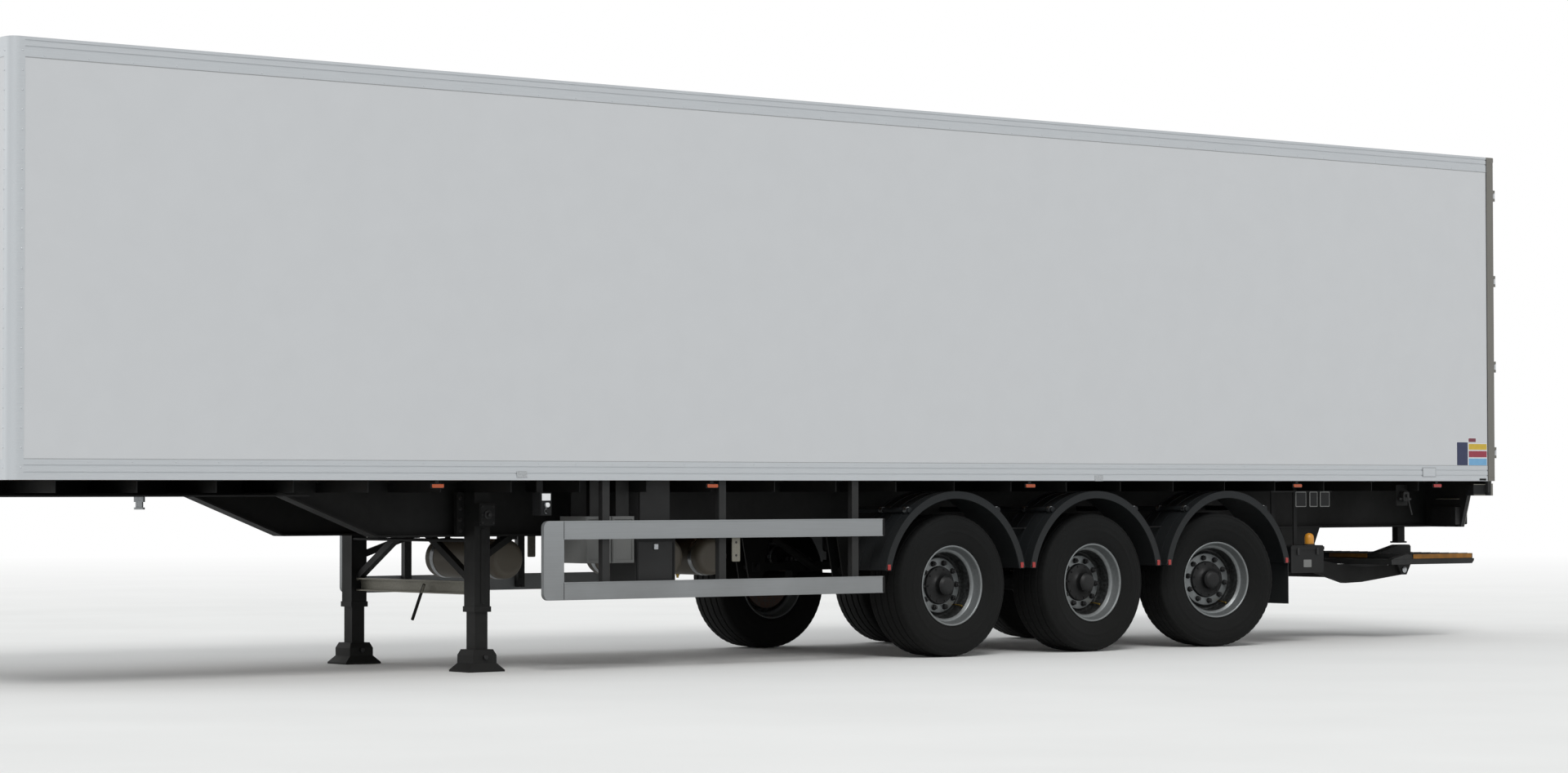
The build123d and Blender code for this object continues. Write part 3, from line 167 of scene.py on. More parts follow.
# Beige powder coat of the air tanks: eggshell gloss with a fine orange peel
TANK = Finish("tank_powder_coat", "#575146", "#48433A", (0.4, 0.55), "tank", grain=0.003, mix=0.4,
              bump=0.0003, dust=0.3, dust_color="#5C574D", dust_top=1.0)
# Yellow paint of the tail lift, drawn brown as painted shade, mottled in patches of 90 mm
LIFT_YELLOW_IN_SHADE = Finish("lift_paint", "#8E5E17", "#5E3E18", (0.5, 0.7), "lift_yellow", grain=0.09, mix=0.75,
              bump=0.0004, specular=0.35, dust=0.3, dust_color="#453A28", dust_top=0.9)
# Silver painted steel rims: half metallic, dusty, and nearly black in the well, painted shade with some caked
# brake dust
RIM = Finish("rim_silver_paint", "#7C8081", "#696D6E", (0.32, 0.48), "rim", metal=0.5, mix=0.45,
             bump=0.0001, dust=0.3, dust_color="#6B6963", dust_top=1.1, well_shade_and_dust_color="#1D1D1C")
# Tyre rubber: dead matt black, greyed by road dust in specks of 10 mm
TYRE = Finish("tyre_rubber", "#0E0F0F", "#151616", (0.7, 0.9), "tyre", grain=0.01, mix=0.6, specular=0.15,
              dust=0.2, dust_color="#2A2825", dust_top=1.1)
# Orange-yellow moulded plastic of the pump box's cap: even and slightly glossy
CAP_YELLOW = Finish("cap_plastic", "#D08F2C", "#BC7A1E", (0.3, 0.45), "lift_yellow", mix=0.4, bump=0.0002)
# Dark grey paint of the lift's folded platform: worn matt in patches of 50 mm
LIFT_GREY = Finish("lift_grey_paint", "#17191A", "#242423", (0.5, 0.75), "lift_grey", grain=0.05, mix=0.6,
                   bump=0.0004, specular=0.3, dust=0.3, dust_color="#36332D", dust_top=0.9)
# Black paint of the hubs: a little glossier than the chassis
HUB = Finish("hub_paint", "#0D0E0F", "#151617", (0.4, 0.6), "chassis_black", mix=0.5, bump=0.0003,
             specular=0.3, dust=0.2, dust_color="#34322E", dust_top=1.0)
# Phosphated steel of nuts and U-bolts: dark grey with a dull gleam of oil
DARK_STEEL = Finish("phosphated_steel", "#252627", "#373635", (0.4, 0.6), "steel", metal=0.6, grain=0.006,
                    mix=0.6, bump=0.0003)
# Grey cast iron of the brake discs: rust-brown where the pads don't reach
IRON = Finish("cast_iron", "#5A5552", "#6B4A36", (0.45, 0.7), "chassis_black", metal=0.6, mix=0.7,
              bump=0.0003)
# Brass of valves and drains: yellow metal with a brown tarnish
BRASS = Finish("brass", "#B89A4E", "#8D7436", (0.3, 0.5), "steel", metal=1.0, grain=0.004, mix=0.5,
               bump=0.0001)
# Black rubber of seals, flaps and bag sleeves: matt, with a grey bloom of dust
RUBBER = Finish("black_rubber", "#161718", "#202122", (0.6, 0.8), "wing", grain=0.008, mix=0.5,
                bump=0.0004, dust=0.25, dust_color="#3C3A36")
# Galvanised steel of the landing legs' crossbar and small brackets: dull grey with spangles of 12 mm
GALVANISED = Finish("galvanised_steel", "#7C7A70", "#6A685F", (0.4, 0.6), "chassis_black", metal=0.4,
                    grain=0.012, mix=0.7, bump=0.0001, dust=0.3, dust_color="#57544B", dust_top=1.2)
# Grey sealant between panels and rails: soft, matt, smeared a little
SEALANT = Finish("joint_sealant", "#9EA0A1", "#8A8C8D", (0.6, 0.75), "panel", grain=0.01, mix=0.5,
                 bump=0.0003)
# Red enamel of the supply coupling: even and glossy
RED_PAINT = Finish("red_enamel", "#A8201A", "#8C1B16", (0.3, 0.45), "lamp", grain=0.01, mix=0.4,
                   bump=0.0001, coat=0.4)
# Lenses of the side markers and the rear lamps: amber and red weathered, clear glossier
AMBER = lens_plastic("amber_lens", "#A4430A", "#842F06", (0.15, 0.25), 0.3)
RED_LENS = lens_plastic("red_lens", "#9A1510", "#7C0E0A", (0.15, 0.25), 0.3)
CLEAR_LENS = lens_plastic("clear_lens", "#D7D9DA", "#BFC3C6", (0.12, 0.22), 0.8)
# Blank sign films in the colours of the plates they cover
SIGN_WHITE = sign_film("sign_white", "#E3E4E4", "#D3D5D6")
SIGN_YELLOW = sign_film("sign_yellow", "#C4A634", "#B3952B", "lift_yellow")
NAVY = sign_film("sign_navy", "#1E2749", "#283153")
MAROON = sign_film("sign_maroon", "#6B2A3A", "#7A3645")
CRIMSON = sign_film("sign_crimson", "#902A3D", "#80283A")
SKY = sign_film("sign_light_blue", "#6DA2C8", "#5E94BA")

CAD_FINISHES: dict[str, Finish] = {
    "panel": PANEL, "rail": RAIL, "guard": GUARD, "frame_grey": PORTAL, "chassis_black": CHASSIS,
    "steel": STEEL, "wing": WING, "floor": FLOOR, "box_black": BOX_BLACK, "box_grey": BOX_GREY,
    "tank": TANK, "lamp": AMBER, "lift_yellow": LIFT_YELLOW_IN_SHADE, "lift_grey": LIFT_GREY, "rim": RIM, "tyre": TYRE,
}

# Places on CAD nodes that have a finish other than the rest of the node
ZONES: dict[str, tuple[Zone, ...]] = {
    # The deep crossmember and its brackets below the portal, drawn black: painted shade under the body
    "rear_frame": (Zone((-6.702, -5.0), (0.0, 1.4), (0.5, 1.2845), CHASSIS),),
    # The struts: behind the rails, between them and above them
    "side_guards": (Zone((-0.2, 2.66), (1.0, 1.2355), (0.4, 1.3), CHASSIS),
                    Zone((-0.2, 2.66), (1.0, 1.2365), (0.6025, 0.8875), CHASSIS),
                    Zone((-0.2, 2.66), (1.0, 1.2365), (1.0135, 1.3), CHASSIS)),
    # The hangers above the boxes, and the low rear box
    "store_boxes": (Zone((1.5, 2.5), (0.7, 1.2), (1.0405, 1.3), CHASSIS),
                    Zone((1.5, 1.985), (0.7, 1.2), (0.5, 1.3), BOX_BLACK)),
    # The crossbar between the legs
    "leg_bracing": (Zone((3.025, 3.095), (0.0, 0.700), (0.5145, 0.6055), GALVANISED),),
    # The hangers above the tanks
    "air_tanks": (Zone((0.5, 3.0), (0.2, 0.4), (0.884, 1.3), CHASSIS),),
}


def linear(hex_color: str) -> tuple[float, float, float, float]:
    """A colour in the linear values that shaders use.

    Args:
        hex_color: the colour in sRGB, as #RRGGBB.

    Returns:
        Linear red, green and blue, and an alpha of one.
    """
    parts = np.array([int(hex_color[i:i + 2], 16) / 255 for i in (1, 3, 5)])
    low = parts / 12.92
    high = ((parts + 0.055) / 1.055) ** 2.4
    red, green, blue = np.where(parts <= 0.04045, low, high)
    return float(red), float(green), float(blue), 1.0


def plug(node: bpy.types.Node, values: dict) -> None:
    """Fills a node's inputs.

    Args:
        node: the node.
        values: inputs by name or number; a value that is a socket is linked, another is set.
    """
    for name, value in values.items():
        socket = node.inputs[name]
        if isinstance(value, bpy.types.NodeSocket):
            node.id_data.links.new(value, socket)
        else:
            socket.default_value = value


def add_node(tree: bpy.types.NodeTree, kind: str, values: dict | None = None, output: int | str = 0,
             **settings: str) -> bpy.types.NodeSocket:
    """Adds a node to a tree.

    Args:
        tree: the node tree.
        kind: the node's type name.
        values: inputs by name or number, as plug takes them.
        output: the output that is wanted, by name or number.
        settings: the node's own properties.

    Returns:
        That output of the new node.
    """
    node = tree.nodes.new(kind)
    for name, value in settings.items():
        setattr(node, name, value)
    plug(node, values or {})
    return node.outputs[output]


def weave(tree: bpy.types.NodeTree, finish: Finish) -> tuple[bpy.types.NodeSocket, ...]:
    """Base and shade mixed by grain, with dust towards the road, and painted shade with brake dust where a
    mesh has it.

    Args:
        tree: the material's node tree.
        finish: the real material's description.

    Returns:
        Sockets of its colour, its roughness and its grain.
    """
    place = add_node(tree, "ShaderNodeTexCoord", output="Object")
    scale = tuple(part / finish.grain for part in finish.pattern.value)
    grain_place = add_node(tree, "ShaderNodeMapping", {"Vector": place, "Scale": scale})
    grain = add_node(tree, "ShaderNodeTexNoise", {"Vector": grain_place, "Scale": 1.0, "Detail": 5.0})
    cloud = add_node(tree, "ShaderNodeTexNoise", {"Vector": place, "Scale": CLOUDS, "Detail": 4.0})
    cloud_band = {"From Min": 0.3, "From Max": 0.7}
    amount = add_node(tree, "ShaderNodeMapRange",
                      {"Value": grain, "From Min": 0.35, "From Max": 0.68, "To Max": finish.mix})
    colors = {FACTOR: amount, COLOR_A: linear(finish.base), COLOR_B: linear(finish.shade)}
    color = add_node(tree, "ShaderNodeMix", colors, COLOR_OUT, data_type="RGBA")
    films = []
    if finish.dust:
        height = add_node(tree, "ShaderNodeSeparateXYZ", {"Vector": place}, "Z")
        low = add_node(tree, "ShaderNodeMapRange",
                       {"Value": height, "From Max": finish.dust_top, "To Min": 1.0, "To Max": 0.0})
        patch = add_node(tree, "ShaderNodeMapRange", {"Value": cloud, **cloud_band, "To Min": 0.35})
        share = add_node(tree, "ShaderNodeMath", {0: low, 1: patch}, operation="MULTIPLY")
        share = add_node(tree, "ShaderNodeMath", {0: share, 1: finish.dust}, operation="MULTIPLY")
        films.append((share, finish.dust_color))
    # Painted shade with brake dust in a rim's well, by the share that the mesh holds
    if finish.well_shade_and_dust_color:
        soil = add_node(tree, "ShaderNodeAttribute", output="Fac", attribute_name=WELL_SHADE_AND_DUST)
        patch = add_node(tree, "ShaderNodeMapRange", {"Value": grain, **cloud_band, "To Min": 0.75})
        share = add_node(tree, "ShaderNodeMath", {0: soil, 1: patch}, operation="MULTIPLY")
        films.append((share, finish.well_shade_and_dust_color))
    for share, film in films:
        colors = {FACTOR: share, COLOR_A: color, COLOR_B: linear(film)}
        color = add_node(tree, "ShaderNodeMix", colors, COLOR_OUT, data_type="RGBA")
    rough_band = {"To Min": finish.rough[0], "To Max": finish.rough[1]}
    rough = add_node(tree, "ShaderNodeMapRange", {"Value": cloud, **cloud_band, **rough_band})
    return color, rough, grain


def inside(tree: bpy.types.NodeTree, zone: Zone) -> bpy.types.NodeSocket:
    """One in a zone and zero outside it.

    A place is inside where, on each axis, its distance from the box's middle less half of the box is below
    zero, so the largest of the three numbers decides.

    Args:
        tree: the material's node tree.
        zone: the box.

    Returns:
        The socket of that number.
    """
    reach = np.array([zone.x, zone.side, zone.z])
    place = add_node(tree, "ShaderNodeTexCoord", output="Object")
    x, y, z = add_node(tree, "ShaderNodeSeparateXYZ", {"Vector": place}).node.outputs
    side = add_node(tree, "ShaderNodeMath", {0: y}, operation="ABSOLUTE")
    past = add_node(tree, "ShaderNodeCombineXYZ", {"X": x, "Y": side, "Z": z})
    for operation, values in (("SUBTRACT", {1: reach.mean(axis=1)}), ("ABSOLUTE", {}),
                              ("SUBTRACT", {1: np.ptp(reach, axis=1) / 2})):
        past = add_node(tree, "ShaderNodeVectorMath", {0: past, **values}, operation=operation)
    x, y, z = add_node(tree, "ShaderNodeSeparateXYZ", {"Vector": past}).node.outputs
    most = add_node(tree, "ShaderNodeMath", {0: x, 1: y}, operation="MAXIMUM")
    most = add_node(tree, "ShaderNodeMath", {0: most, 1: z}, operation="MAXIMUM")
    return add_node(tree, "ShaderNodeMath", {0: most, 1: 0.0}, operation="LESS_THAN")


def make_material(finish: Finish, name: str | None = None, zones: Sequence[Zone] = ()) -> bpy.types.Material:
    """Builds a finish as a node material, with other finishes in its zones.

    Args:
        finish: the real material's description.
        name: the material's name, where it isn't the finish's own.
        zones: places that have a finish of their own.

    Returns:
        The material, made once and found again by its name.
    """
    name = name or finish.name
    found = bpy.data.materials.get(name)
    if found:
        return found
    material = bpy.data.materials.new(name)
    material.use_nodes = True
    tree = material.node_tree
    color, rough, grain = weave(tree, finish)
    metal = finish.metal
    for zone in zones:
        factor = inside(tree, zone)
        zone_color, zone_rough, _ = weave(tree, zone.finish)
        colors = {FACTOR: factor, COLOR_A: color, COLOR_B: zone_color}
        color = add_node(tree, "ShaderNodeMix", colors, COLOR_OUT, data_type="RGBA")
        rough = add_node(tree, "ShaderNodeMix", {FACTOR: factor, NUMBER_A: rough, NUMBER_B: zone_rough})
        metals = {FACTOR: factor, NUMBER_A: metal, NUMBER_B: zone.finish.metal}
        metal = add_node(tree, "ShaderNodeMix", metals)
    relief = {"Strength": GRAIN_STRENGTH, "Distance": finish.bump, "Height": grain}
    bump = add_node(tree, "ShaderNodeBump", relief)
    plug(tree.nodes["Principled BSDF"], {
        "Base Color": color, "Roughness": rough, "Normal": bump, "Metallic": metal,
        "Specular IOR Level": finish.specular, "Coat Weight": finish.coat,
        "Coat Roughness": COAT_ROUGHNESS,
    })
    return material


def dress_frame() -> None:
    """Gives every CAD node the finish of its material slot, and of its zones."""
    for part in frame["record"]["subparts"]:
        name, slot = part["node"], part["material_slot"]
        zones = ZONES.get(name, ())
        materials = frame["nodes"][name].data.materials
        materials.clear()
        materials.append(make_material(CAD_FINISHES[slot], f"{slot}_{name}" if zones else None, zones))
        LOG.info("dressed %s as %s", name, slot)


@dataclass(frozen=True)
class Shape:
    """A mesh in arrays: its corners, and its faces as arrays of equal width."""

    corners: np.ndarray
    faces: tuple[np.ndarray, ...]

    def __add__(self, other: "Shape") -> "Shape":
        """Both shapes in one mesh."""
        shifted = tuple(face + len(self.corners) for face in other.faces)
        return Shape(np.concatenate([self.corners, other.corners]), self.faces + shifted)

    def moved(self, x: float = 0.0, y: float = 0.0, z: float = 0.0) -> "Shape":
        """The shape shifted."""
        return Shape(self.corners + np.array([x, y, z]), self.faces)

    def turned(self, axis: Axis, degrees: float) -> "Shape":
        """The shape turned about an axis through the origin."""
        matrix = np.array(Matrix.Rotation(math.radians(degrees), 3, axis.name))
        return Shape(self.corners @ matrix.T, self.faces)

    def flipped(self, axis: Axis = Axis.Y) -> "Shape":
        """The mirror image across the plane at right angles to an axis, its faces wound back.

        Args:
            axis: the axis whose values change sign.

        Returns:
            The mirrored shape.
        """
        sign = np.ones(3)
        sign[axis.value] = -1
        return Shape(self.corners * sign, tuple(face[:, ::-1] for face in self.faces))

    def paired(self) -> "Shape":
        """A left-hand shape and its mirror image on the right."""
        return self + self.flipped()

    def at(self, places: Iterable[Point]) -> "Shape":
        """Copies of the shape.

        Args:
            places: shifts from where the shape is, one for each copy.

        Returns:
            All copies in one mesh.
        """
        shift = np.array(list(places), dtype=float)
        corners = (self.corners[None] + shift[:, None]).reshape(-1, 3)
        step = (np.arange(len(shift)) * len(self.corners))[:, None, None]
        return Shape(corners, tuple((face[None] + step).reshape(-1, face.shape[1]) for face in self.faces))


def joined(shapes: Iterable[Shape]) -> Shape:
    """Several shapes in one mesh."""
    return reduce(Shape.__add__, shapes)


def around(middle: float, half: float) -> Pair:
    """Low and high value at equal distances from a middle."""
    return middle - half, middle + half


def grown(pair: Pair, by: float) -> Pair:
    """A low and a high value moved apart, or together where the number is negative."""
    return pair[0] - by, pair[1] + by


def surface(points: np.ndarray, wrap: bool = False) -> Shape:
    """A net of four-sided faces over a grid of points.

    Args:
        points: rows by columns of points.
        wrap: whether the last column is joined to the first.

    Returns:
        The net; the face at row i and column j has the points of rows i and i + 1, columns j and j + 1.
    """
    rows, columns = points.shape[:2]
    number = np.arange(rows * columns).reshape(rows, columns)
    if wrap:
        number = np.concatenate([number, number[:, :1]], axis=1)
    quads = np.stack([number[:-1, :-1], number[1:, :-1], number[1:, 1:], number[:-1, 1:]], axis=-1)
    return Shape(points.reshape(-1, 3), (quads.reshape(-1, 4),))


def loft(rings: np.ndarray) -> Shape:
    """Closed rings joined row by row, the first and the last each closed by one face.

    Args:
        rings: rings by points of each ring.

    Returns:
        A closed shape.
    """
    skin = surface(rings, wrap=True)
    columns = rings.shape[1]
    first = np.arange(columns)[None, ::-1]
    last = np.arange(columns)[None] + (len(rings) - 1) * columns
    return Shape(skin.corners, skin.faces + (first, last))


def lathe(profile: Sequence[Pair], steps: int = 64, closed: bool = False) -> Shape:
    """A profile carried round the Y axis.

    A point at (along, r) of the profile turned by the angle t lies at x = r sin t, y = along, z = r cos t.

    Args:
        profile: points as (along the axis, radius).
        steps: columns of faces round the axis.
        closed: whether the profile returns to its first point.

    Returns:
        The turned shape.
    """
    line = np.array(profile, dtype=float)
    if closed:
        line = np.concatenate([line, line[:1]])
    turn = np.linspace(0, 2 * np.pi, steps, endpoint=False)
    along, radius = line[:, :1], line[:, 1:]
    points = np.stack([radius * np.sin(turn), along + 0 * turn, radius * np.cos(turn)], axis=-1)
    return surface(points, wrap=True)


def spindle(profile: Sequence[Pair], steps: int) -> Shape:
    """A profile carried round the Y axis, with both ends closed by a face down to the axis."""
    return lathe([(profile[0][0], 0.0), *profile, (profile[-1][0], 0.0)], steps)


def circle(radius: float, steps: int = 24) -> np.ndarray:
    """Outline of a circle about the origin; six steps make a hexagon."""
    turn = np.linspace(0, 2 * np.pi, steps, endpoint=False)
    return radius * np.stack([np.cos(turn), np.sin(turn)], axis=-1)


def ring_places(radius: float, along: float, count: int) -> np.ndarray:
    """Places evenly round the Y axis: the one at the angle t has x = radius sin t and z = radius cos t."""
    turn = np.linspace(0, 2 * np.pi, count, endpoint=False)
    return np.stack([radius * np.sin(turn), along + 0 * turn, radius * np.cos(turn)], axis=-1)


def rounded(first: Pair, second: Pair, radius: float, steps: int = 4) -> np.ndarray:
    """Outline of a rectangle whose corners are quarter circles; one step makes them plain cuts.

    Args:
        first: low and high value on the outline's first axis.
        second: low and high value on its second axis.
        radius: of each corner.
        steps: edges in each corner.

    Returns:
        The outline's points, anticlockwise.
    """
    turn = np.linspace(0, np.pi / 2, steps + 1)[None] + np.arange(4)[:, None] * np.pi / 2
    sign = np.array([[1, 1], [-1, 1], [-1, -1], [1, -1]])[:, None]
    middle = np.array([sum(first) / 2, sum(second) / 2])
    half = np.array([abs(first[1] - first[0]) / 2, abs(second[1] - second[0]) / 2]) - radius
    round_part = radius * np.stack([np.cos(turn), np.sin(turn)], axis=-1)
    return (middle + sign * half + round_part).reshape(-1, 2)


def inset(outline: np.ndarray, depth: float) -> np.ndarray:
    """An outline drawn in.

    Each corner moves along the sum of its two edges' inward normals, by the depth divided by one plus their
    dot product, so that both edges shift by the depth.

    Args:
        outline: the outline's points, anticlockwise.
        depth: how far each edge moves.

    Returns:
        The smaller outline.
    """
    edge = np.roll(outline, -1, axis=0) - outline
    normal = np.stack([-edge[:, 1], edge[:, 0]], axis=-1)
    normal /= np.maximum(np.linalg.norm(normal, axis=1, keepdims=True), 1e-12)
    before = np.roll(normal, 1, axis=0)
    share = 1 + np.sum(before * normal, axis=1, keepdims=True)
    return outline + depth * (before + normal) / share


def prism(outline: np.ndarray, reach: Pair, axis: Axis, bevel: float = 0.0015) -> Shape:
    """An outline carried along an axis, its ends drawn in by a bevel.

    Args:
        outline: points on the two other axes, in the order X, Y, Z, anticlockwise.
        reach: start and end along the axis.
        axis: the axis.
        bevel: how far the end faces are drawn in and stand out.

    Returns:
        A closed shape of four rings.
    """
    low, high = sorted(reach)
    level = np.array([low, low + bevel, high - bevel, high])
    small = inset(outline, bevel)
    flat = np.stack([small, outline, outline, small])
    rings = np.insert(flat, axis.value, level[:, None], axis=2)
    return loft(rings)


def slab(x: Pair, y: Pair, z: Pair, bevel: float = 0.0015) -> Shape:
    """A block between two values on each axis, all its edges cut by the bevel."""
    return prism(rounded(x, y, bevel, 1), z, Axis.Z, bevel)


def plate(x: Pair, z: Pair, corner: float, reach: Pair, bevel: float, steps: int = 4) -> Shape:
    """A flat plate that faces sideways: a rectangle in X and Z with round corners, carried along Y."""
    return prism(rounded(x, z, corner, steps), reach, Axis.Y, bevel)


def frame_of(first: Pair, second: Pair, width: float, reach: Pair, axis: Axis, bevel: float = 0.001) -> Shape:
    """Four flat strips round a rectangle, mitred: an outline, its inset, and both again at the other face.

    Args:
        first: low and high value on the rectangle's first axis.
        second: low and high value on its second axis.
        width: of the strips, inwards from the rectangle.
        reach: start and end along the axis.
        axis: the axis that the frame faces.
        bevel: of the two edges at the high end.

    Returns:
        A closed ring of strips.
    """
    outer = rounded(first, second, 0.0, 1)[::2]
    inner = inset(outer, width)
    low, high = sorted(reach)
    rings = ((outer, low), (outer, high - bevel), (inset(outer, bevel), high),
             (inset(outer, width - bevel), high), (inner, high - bevel), (inner, low), (outer, low))
    flat = np.stack([ring for ring, level in rings])
    levels = np.array([level for ring, level in rings])[:, None]
    return surface(np.insert(flat, axis.value, levels, axis=2), wrap=True)


def arc_strip(middle: Pair, radius: Pair, y: Pair, degrees: Pair, steps: int = 48) -> Shape:
    """A bar with a four-cornered section carried along an arc about the Y axis.

    A section corner at radius r and the angle t lies at x = middle x - r cos t, z = middle z + r sin t.

    Args:
        middle: X and Z of the arc's middle.
        radius: inner and outer radius.
        y: low and high value across.
        degrees: where the arc starts and ends; zero points to -X and 90 upwards.
        steps: sections along the arc.

    Returns:
        A closed bar.
    """
    turn = np.radians(np.linspace(*degrees, steps))[:, None]
    r = np.array([radius[0], radius[1], radius[1], radius[0]])[None]
    across = np.array([y[0], y[0], y[1], y[1]])[None] + 0 * turn
    return loft(np.stack([middle[0] - r * np.cos(turn), across, middle[1] + r * np.sin(turn)], axis=-1))


def bent(corners: Sequence[Point], radius: float, steps: int = 6) -> np.ndarray:
    """A path whose corners are eased by quadratic curves.

    At the share t a curve lies at corner + (1 - t)^2 back + t^2 ahead, where back and ahead reach one radius
    towards the corners before and after.

    Args:
        corners: the path's ends and corners.
        radius: how far from its corner each curve starts and ends.
        steps: edges in each curve.

    Returns:
        The path's points.
    """
    point = np.array(corners, dtype=float)
    middle = point[1:-1, None]
    back = point[:-2, None] - middle
    ahead = point[2:, None] - middle
    back *= radius / np.linalg.norm(back, axis=2, keepdims=True)
    ahead *= radius / np.linalg.norm(ahead, axis=2, keepdims=True)
    t = np.linspace(0, 1, steps + 1)[None, :, None]
    curve = middle + (1 - t) ** 2 * back + t**2 * ahead
    return np.concatenate([point[:1], curve.reshape(-1, 3), point[-1:]])


def tube(path: np.ndarray, radius: float, steps: int = 12) -> Shape:
    """A round bar: each ring is spanned by two vectors at right angles to the path's direction there.

    Args:
        path: points along the bar's middle.
        radius: of the bar.
        steps: columns of faces round it.

    Returns:
        A closed bar.
    """
    path = np.asarray(path, dtype=float)
    along = np.gradient(path, axis=0)
    along /= np.linalg.norm(along, axis=1, keepdims=True)
    side = np.cross(along, np.array([0.23, 0.41, 0.88]))  # a slant that no bar of the trailer follows
    side /= np.linalg.norm(side, axis=1, keepdims=True)
    other = np.cross(along, side)
    turn = np.linspace(0, 2 * np.pi, steps, endpoint=False)[None, :, None]
    return loft(path[:, None] + radius * (np.cos(turn) * side[:, None] + np.sin(turn) * other[:, None]))


def bolt(radius: float = 0.011, height: float = 0.008) -> Shape:
    """A hexagon head on a washer, pointing along +Y from the origin."""
    washer = prism(circle(radius * 1.35, 16), (0, height * 0.25), Axis.Y, height * 0.06)
    return washer + prism(circle(radius, 6), (0, height), Axis.Y, height * 0.18)


def make_object(name: str, shape: Shape, body: str | None, finish: Finish | None = None,
                sharp: float = 35.0) -> bpy.types.Object:
    """Makes a shape into an object that rides on a body.

    Args:
        name: the piece's name.
        shape: its mesh.
        body: the CAD body it moves with, or none for a stage piece.
        finish: its material.
        sharp: edges bent by more degrees than this stay crisp.

    Returns:
        The object, at the origin.
    """
    mesh = bpy.data.meshes.new(name)
    counts = np.concatenate([np.full(len(face), face.shape[1]) for face in shape.faces])
    corner_numbers = np.concatenate([face.ravel() for face in shape.faces]).astype(np.int32)
    mesh.vertices.add(len(shape.corners))
    mesh.vertices.foreach_set("co", shape.corners.astype(np.float32).ravel())
    mesh.loops.add(len(corner_numbers))
    mesh.loops.foreach_set("vertex_index", corner_numbers)
    mesh.polygons.add(len(counts))
    mesh.polygons.foreach_set("loop_start", (np.cumsum(counts) - counts).astype(np.int32))
    mesh.update(calc_edges=True)
    work = bmesh.new()
    work.from_mesh(mesh)
    bmesh.ops.remove_doubles(work, verts=work.verts, dist=1e-6)
    bmesh.ops.recalc_face_normals(work, faces=work.faces)
    work.to_mesh(mesh)
    work.free()
    mesh.polygons.foreach_set("use_smooth", np.ones(len(mesh.polygons), dtype=bool))
    mesh.set_sharp_from_angle(angle=math.radians(sharp))
    mesh.validate()
    obj = bpy.data.objects.new(name, mesh)
    bpy.context.scene.collection.objects.link(obj)
    if finish:
        mesh.materials.append(make_material(finish))
    if body:
        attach(obj, body)
    LOG.info("made %s: %d faces", name, len(mesh.polygons))
    return obj


def make_pieces(body: str, *pieces: tuple[str, Shape, Finish]) -> None:
    """Makes several pieces, each given as its name, shape and finish, that ride on one body."""
    for name, shape, finish in pieces:
        make_object(name, shape, body, finish)


def span(node: str, axis: Axis) -> Pair:
    """Lowest and highest value of a CAD node on one axis."""
    low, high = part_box(node)
    return low[axis.value], high[axis.value]


def joint_place(name: str) -> Point:
    """Where a joint of the record stands."""
    places = {joint["name"]: joint.get("pos_m") for joint in frame["record"]["behaviour"]["joints"]}
    return tuple(places[name])


AXLE_JOINTS = ("wheel_1_left_spin", "wheel_2_left_spin", "steer_left")
AXLES: tuple[float, ...] = tuple(joint_place(name)[0] for name in AXLE_JOINTS)
AXLE_Z = joint_place(AXLE_JOINTS[0])[2]
WALL = span("side_rails", Axis.Y)[1]  # outer face of the side rails, from the middle plane


